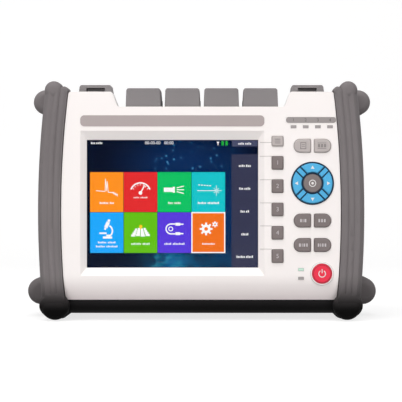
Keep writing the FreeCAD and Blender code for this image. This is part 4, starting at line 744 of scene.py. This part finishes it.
def make_status_line(white, green):
    left = Ink(-72.5, STATUS_Z)
    left.words(0, (3.2, 4.6), 1.5, 0.5)
    screen_piece("status_name", left.mesh, white)
    clock = Ink(-29.0, STATUS_Z)
    number(clock.mesh, "00-00-00   00:00", (clock.x, clock.y, clock.z), 3.0, INK_DEEP)
    screen_piece("status_clock", clock.mesh, white)
    signal = Ink(11.8, STATUS_Z)
    signal.dot(0, 0.3, 1.1, 3, 180)
    signal.bar(0, -0.9, 0.5, 1.4)
    screen_piece("status_signal", signal.mesh, white)
    cells = Ink(16.4, STATUS_Z)
    for x in (-1.4, 1.4):
        cells.bar(x, -0.3, 1.7, 2.8)
        cells.bar(x, 1.4, 0.8, 0.5)
    screen_piece("status_cells", cells.mesh, green)


# ---------------------------------------------------------------- prints on the face and the keys, and painted shade on the power key's rim

def key_mark(name, key, draw, look="white_print"):
    """Print or painted shade that rides on its key; draw adds its shape to the mesh at once."""
    mesh = bmesh.new()
    draw(mesh)
    finished(name, mesh, key, LOOKS[look])


def make_key_marks():
    top = KEY_TOP - PRINT / 2
    for n, height in enumerate(SOFT_HEIGHTS, 1):
        key_mark("soft_mark_%d" % n, "soft_key_%d" % n,
                 lambda mesh: number(mesh, str(n), (SOFT_X, top, height), 4.2, PRINT), "key_print")

    def menu_bars(mesh):
        for step in (-1, 0, 1):
            block(mesh, (SOFT_X, top, MENU_KEY_Z + 1.3 * step), (3.8, PRINT, 0.5))

    key_mark("menu_mark", "menu_key", menu_bars, "faint_print")

    def sheet_mark(mesh):
        for x, z, wide, tall in ((-1.8, 0, 0.45, 4.6), (1.8, 0, 0.45, 4.6), (0, 2.1, 4.0, 0.45),
                                 (0, -2.1, 4.0, 0.45), (0, 0.8, 2.2, 0.4), (0, -0.5, 2.2, 0.4)):
            block(mesh, (PAIR_LEFT + x, top, PAD_Z + z), (wide, PRINT, tall))

    def row_mark(mesh):
        for step in (-1, 0, 1):
            block(mesh, (PAIR_RIGHT + 2.1 * step, top, PAD_Z), (1.5, PRINT, 2.3))
        for rise in (-1.9, 1.9):
            block(mesh, (PAIR_RIGHT, top, PAD_Z + rise), (6.0, PRINT, 0.4))

    key_mark("pad_mark_left", "pad_key_left", sheet_mark, "faint_print")
    key_mark("pad_mark_right", "pad_key_right", row_mark, "faint_print")

    def letter_blocks(mesh, widths, x, z, gap=0.5):
        start = x - (sum(widths) + gap * (len(widths) - 1)) / 2
        for wide in widths:
            block(mesh, (start + wide / 2, top, z), (wide * 0.8, PRINT, 2.2))
            start += wide + gap

    for n, (x, z, widths) in enumerate(((PAIR_LEFT, FUNCTION_HIGH, (1.3, 0.6, 1.6)),
                                        (PAIR_RIGHT, FUNCTION_HIGH, (1.4, 1.4, 1.4)),
                                        (PAIR_LEFT, FUNCTION_LOW, (1.6, 0.6, 1.4, 1.2)),
                                        (PAIR_RIGHT, FUNCTION_LOW, (1.3, 0.7, 1.2, 1.4))), 1):
        key_mark("function_mark_%d" % n, "function_key_%d" % n,
                 lambda mesh: letter_blocks(mesh, widths, x, z), "key_print")

    for name, turn in (("up", 0), ("right", 90), ("down", 180), ("left", 270)):
        x = RING_X + ARROW_REACH * math.sin(math.radians(turn))
        z = RING_Z + ARROW_REACH * math.cos(math.radians(turn))
        key_mark("arrow_mark_" + name, "arrow_key_" + name,
                 lambda mesh: disc(mesh, (x, top, z), 1.5, PRINT, 3, turn))

    def centre_mark(mesh):
        arc(mesh, (RING_X, top, RING_Z), 1.9, 2.5, PRINT)
        disc(mesh, (RING_X, top, RING_Z), 0.9, PRINT)

    key_mark("centre_mark", "centre_key", centre_mark)

    def standby(mesh):
        arc(mesh, (POWER_X, top, POWER_Z), 2.0, 2.65, PRINT, 32, 296)
        block(mesh, (POWER_X, top, POWER_Z + 1.8), (0.65, PRINT, 2.9))

    key_mark("standby_mark", "power_key", standby)
    # painted shade: a dark red ring on the power key in place of the shade on its domed rim
    key_mark("power_rim_painted_shade", "power_key",
             lambda mesh: arc(mesh, (POWER_X, top, POWER_Z), 5.75, 6.28, PRINT), "power_painted_shade")


def round_film(mesh, across, tall, radius, depth, steps=8):
    """Thin plate with round corners, between two planes that face the front."""
    rim = []
    left, right = across[0] + radius, across[1] - radius
    low, high = tall[0] + radius, tall[1] - radius
    for x, z, start in ((right, high, 0), (left, high, 90), (left, low, 180), (right, low, 270)):
        for step in range(steps + 1):
            lean = math.radians(start + 90 * step / steps)
            point = Vector((x + radius * math.cos(lean), depth[0], z + radius * math.sin(lean)))
            rim.append(mesh.verts.new(point * MM))
    made = bmesh.ops.extrude_face_region(mesh, geom=[mesh.faces.new(rim)])
    moved = [v for v in made["geom"] if isinstance(v, bmesh.types.BMVert)]
    bmesh.ops.translate(mesh, verts=moved, vec=Vector((0, depth[1] - depth[0], 0)) * MM)


def make_face_prints():
    mesh = bmesh.new()
    for height in LEADER_HEIGHTS:
        block(mesh, (LEADER_X, FACE - 0.02, height), (LEADER_LONG, LINE_DEEP, 0.4))
    finished("leader_lines", mesh, "case", LOOKS["grey_print"])
    mesh = bmesh.new()
    arc(mesh, (POWER_X, FACE - 0.02, POWER_Z), 7.8, 8.15, LINE_DEEP)
    finished("power_seam", mesh, "case", LOOKS["grey_print"])
    mesh = bmesh.new()
    round_film(mesh, *STATUS_FILM, 1.9, (FACE + 0.28, FACE - 0.2))
    film = finished("status_film", mesh, "case", LOOKS["legend_film"])
    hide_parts("status_strip")
    mesh = bmesh.new()
    for step in range(4):
        number(mesh, str(step + 1), (STATUS_FIRST + STATUS_PITCH * step, FACE - 0.22, 139.5),
               3.0, INK_DEEP)
    finished("status_numbers", mesh, "case", LOOKS["dark_print"])


def make_toe_lobes():
    """Round rubber toe at the foot of each guard, which meets the ground under its front."""
    steps, flat = 6, TOE_ROUND - TOE_EDGE
    outline = [(0.0, TOE_FRONT), (flat, TOE_FRONT)]
    for step in range(1, steps + 1):
        lean = math.pi / 2 * step / steps
        outline.append((flat + TOE_EDGE * math.sin(lean),
                        TOE_FRONT + TOE_EDGE * (1 - math.cos(lean))))
    outline.append((TOE_ROUND, TOE_BACK))
    for side, name in ((1, "right"), (-1, "left")):
        x = TOE_X * side
        mesh = bmesh.new()
        points = [mesh.verts.new(Vector((x + reach, y, TOE_Z)) * MM) for reach, y in outline]
        edges = [mesh.edges.new(pair) for pair in zip(points, points[1:])]
        bmesh.ops.spin(mesh, geom=edges, cent=Vector((x, 0, TOE_Z)) * MM, axis=(0, 1, 0),
                       angle=math.radians(360), steps=48, use_merge=True)
        piece = finished("guard_toe_" + name, mesh, "case", LOOKS["guard_rubber"])
        for face in piece.data.polygons:
            face.use_smooth = True


def make_strap_stops():
    """Low wall behind each strap lug, with room for the strap between them."""
    for side, name in ((1, "right"), (-1, "left")):
        mesh = bmesh.new()
        block(mesh, (LUG_X * side, STOP_Y, STOP_Z), STOP_SIZE, edge=0.7)
        finished("strap_stop_" + name, mesh, "case", LOOKS["cap_plastic"])


# ---------------------------------------------------------------- behind the caps, at the back

def tube(mesh, x, y, low, high, inner, outer, segments=40):
    """Closed ring wall about an upright axis."""
    section = bmesh.ops.create_grid(
        mesh, x_segments=1, y_segments=1, size=0.5,
        matrix=place(x + (inner + outer) / 2, y, (low + high) / 2) @ FACING
        @ Matrix.Diagonal(Vector((outer - inner, high - low, 1)) * MM).to_4x4())
    faces = {f for v in section["verts"] for f in v.link_faces}
    edges = {e for f in faces for e in f.edges}
    bmesh.ops.delete(mesh, geom=list(faces), context="FACES_ONLY")
    bmesh.ops.spin(mesh, geom=list(edges), cent=Vector((x, y, 0)) * MM, axis=(0, 0, 1),
                   angle=math.radians(360), steps=segments, use_merge=True)


def make_port_details():
    """Thread ridges and ceramic sleeves of the ports, gilt contacts of the socket."""
    for x, name in zip(PORT_X[1:], ("fault_locator", "otdr", "meter")):
        mesh = bmesh.new()
        for turn in range(7):
            ridge = place(x + THREAD_ROUND - 0.1, PORT_Y, THREAD_LOW + THREAD_PITCH * turn)
            made = bmesh.ops.create_circle(mesh, cap_ends=False, segments=6, radius=0.3 * MM,
                                           matrix=ridge @ FACING)
            edges = {e for v in made["verts"] for e in v.link_edges}
            bmesh.ops.spin(mesh, geom=list(edges), cent=Vector((x, PORT_Y, 0)) * MM, axis=(0, 0, 1),
                           angle=math.radians(360), steps=40, use_merge=True)
        finished(name + "_thread", mesh, "case", LOOKS["plated_steel"])
        mesh = bmesh.new()
        tube(mesh, x, PORT_Y, PORT_TOP - SLEEVE_DEEP, PORT_TOP + 0.04, FERRULE, SLEEVE_ROUND + 0.04)
        finished(name + "_sleeve", mesh, "case", LOOKS["white_ceramic"])
    mesh = bmesh.new()
    for step in (-3, -1, 1, 3):
        block(mesh, (PORT_X[0] + CONTACT_PITCH * step, CONTACT_Y, CONTACT_Z), (1.1, 0.1, 7.4))
    finished("usb_contacts", mesh, "case", LOOKS["gilt_contact"])


def cross(mesh, x, y, z, turn):
    for quarter in (0, 90):
        block(mesh, (x, y, z), (3.2, 0.16, 0.6), turn=turn + quarter)


def make_screw_recesses():
    """Dark flat crosses on the screw heads, painted shade in place of the driver recesses, each
    turned its own way.
    """
    mesh = bmesh.new()
    for index, x in enumerate(DOOR_SCREW_X):
        cross(mesh, x, DOOR_SCREW_Y, DOOR_SCREW_Z, 20 + 35 * index)
    for index, (x, z) in enumerate(CASE_SCREWS):
        cross(mesh, x, CASE_SCREW_Y, z, 17 * index)
    # the black crosses are painted shade, not cut recesses
    finished("screw_recess_painted_shade", mesh, "case", LOOKS["black_rubber"])


def make_mint_lens():
    mesh = bmesh.new()
    block(mesh, (CHARGE_X, FACE - 0.22, CHARGE_Z), (3.7, 0.12, 1.9), edge=0.04)
    finished("charge_light", mesh, "case", LOOKS["mint_lens"])


# ---------------------------------------------------------------- stage

FLOOR_LINE = ((-1.8, -0.0005), (0.75, -0.0005), (0.95, 0.05), (1.05, 0.2), (1.08, 1.6))    # in m
FLOOR_HALF = 1.6
FLOOR_GREY, FLOOR_GLOW = 0.34, 0.74
SKY_LEVEL, SKY_TOP = 0.36, 0.4
LAMP_TINT = (1.0, 0.975, 0.97)
FRAME_WIDE = 279.4              # what the camera takes in at the face, in mm


def make_stage():
    """Pale floor that turns up into a backdrop, plain white to the eye and clear from behind."""
    mesh = bmesh.new()
    profile = [mesh.verts.new(Vector((-FLOOR_HALF, y, z))) for y, z in FLOOR_LINE]
    edges = [mesh.edges.new(pair) for pair in zip(profile, profile[1:])]
    across = bmesh.ops.extrude_edge_only(mesh, edges=edges)
    moved = [v for v in across["geom"] if isinstance(v, bmesh.types.BMVert)]
    bmesh.ops.translate(mesh, verts=moved, vec=(2 * FLOOR_HALF, 0, 0))
    data = bpy.data.meshes.new("studio_floor")
    mesh.to_mesh(data)
    mesh.free()
    for face in data.polygons:
        face.use_smooth = True
    floor = shown("studio_floor", data)
    look, tree, shader = new_look("studio_floor")
    shader.inputs["Base Color"].default_value = (FLOOR_GREY, FLOOR_GREY, FLOOR_GREY, 1)
    shader.inputs["Roughness"].default_value = 0.9
    shader.inputs["Specular IOR Level"].default_value = 0.0
    shader.inputs["Emission Color"].default_value = (1, 1, 1, 1)
    glow = math_node(tree, "MULTIPLY", seen_rays(tree), FLOOR_GLOW)
    tree.links.new(glow, shader.inputs["Emission Strength"])
    away = tree.nodes.new("ShaderNodeNewGeometry").outputs["Backfacing"]
    tree.links.new(math_node(tree, "SUBTRACT", 1.0, away), shader.inputs["Alpha"])
    data.materials.append(look)


def seen_rays(tree):
    """1 for rays that show the backdrop: straight, mirrored or through glass."""
    rays = tree.nodes.new("ShaderNodeLightPath")
    straight = math_node(tree, "MAXIMUM", rays.outputs["Is Camera Ray"],
                         rays.outputs["Is Glossy Ray"])
    return math_node(tree, "MAXIMUM", straight, rays.outputs["Is Transmission Ray"])


def make_world():
    """White behind the object, a dim room in front, and soft light that comes mostly from above."""
    world = bpy.data.worlds.new("studio")
    bpy.context.scene.world = world
    world.use_nodes = True
    tree = world.node_tree
    ground = tree.nodes["Background"]
    way = tree.nodes.new("ShaderNodeSeparateXYZ")
    tree.links.new(tree.nodes.new("ShaderNodeTexCoord").outputs["Generated"], way.inputs[0])
    rays = tree.nodes.new("ShaderNodeLightPath")
    behind = math_node(tree, "MULTIPLY", ramp(tree, way.outputs["Y"], -0.25, 0.3), 0.75)
    behind = math_node(tree, "ADD", behind, 0.25)
    sky = math_node(tree, "MULTIPLY", ramp(tree, way.outputs["Z"], -0.1, 1.0), SKY_TOP)
    sky = math_node(tree, "ADD", sky, SKY_LEVEL)
    glossy = tree.nodes.new("ShaderNodeMix")
    tree.links.new(rays.outputs["Is Glossy Ray"], glossy.inputs[0])
    tree.links.new(sky, glossy.inputs[2])
    tree.links.new(behind, glossy.inputs[3])
    level = tree.nodes.new("ShaderNodeMix")
    clear = math_node(tree, "MAXIMUM", rays.outputs["Is Camera Ray"],
                      rays.outputs["Is Transmission Ray"])
    tree.links.new(clear, level.inputs[0])
    tree.links.new(glossy.outputs[0], level.inputs[2])
    level.inputs[3].default_value = 1.0
    ground.inputs["Color"].default_value = (1, 1, 1, 1)
    tree.links.new(level.outputs[0], ground.inputs["Strength"])


def lamp(name, where, towards, size, watts):
    data = bpy.data.lights.new(name, "AREA")
    data.shape = "RECTANGLE"
    data.size, data.size_y = size
    data.energy = watts
    data.color = LAMP_TINT
    turned = (Vector(towards) - Vector(where)).to_track_quat("-Z", "Y").to_matrix().to_4x4()
    shown(name, data).matrix_world = Matrix.Translation(where) @ turned


def make_lights():
    lamp("overhead", (-0.2, -0.45, 1.15), (0, 0, 0.08), (0.9, 0.5), 6.05)
    lamp("front_left", (-0.8, -1.3, 0.6), (0, 0, 0.08), (0.6, 0.6), 4.6)
    lamp("front_right", (1.0, -1.4, 0.4), (0, 0, 0.08), (0.6, 0.6), 3.4)
    lamp("low_left", (-0.75, -1.35, 0.02), (0, 0, 0.05), (0.6, 0.3), 4.4)
    lamp("low_right", (0.75, -1.35, 0.02), (0, 0, 0.05), (0.6, 0.3), 4.0)


def make_camera():
    data = bpy.data.cameras.new("camera")
    data.sensor_width = 36
    data.lens = 116
    data.shift_x = -EYE.x / FRAME_WIDE
    data.clip_start, data.clip_end = 0.05, 20
    item = shown("camera", data)
    item.matrix_world = Matrix.Translation((0.015, -0.9348, 0.0833)) @ FACING
    bpy.context.scene.camera = item


dress_nodes()
make_screen_ground()
make_tiles()
icon_white = glowing("icon_white", (250, 250, 250))
make_icons(icon_white, glowing("icon_yellow", (250, 205, 40)))
make_side_menu(icon_white)
make_status_line(icon_white, glowing("icon_green", (30, 170, 60)))
make_key_marks()
make_face_prints()
make_toe_lobes()
make_strap_stops()
make_port_details()
make_screw_recesses()
make_mint_lens()
make_stage()
make_world()
make_lights()
make_camera()
bpy.context.scene.view_settings.view_transform = "Standard"
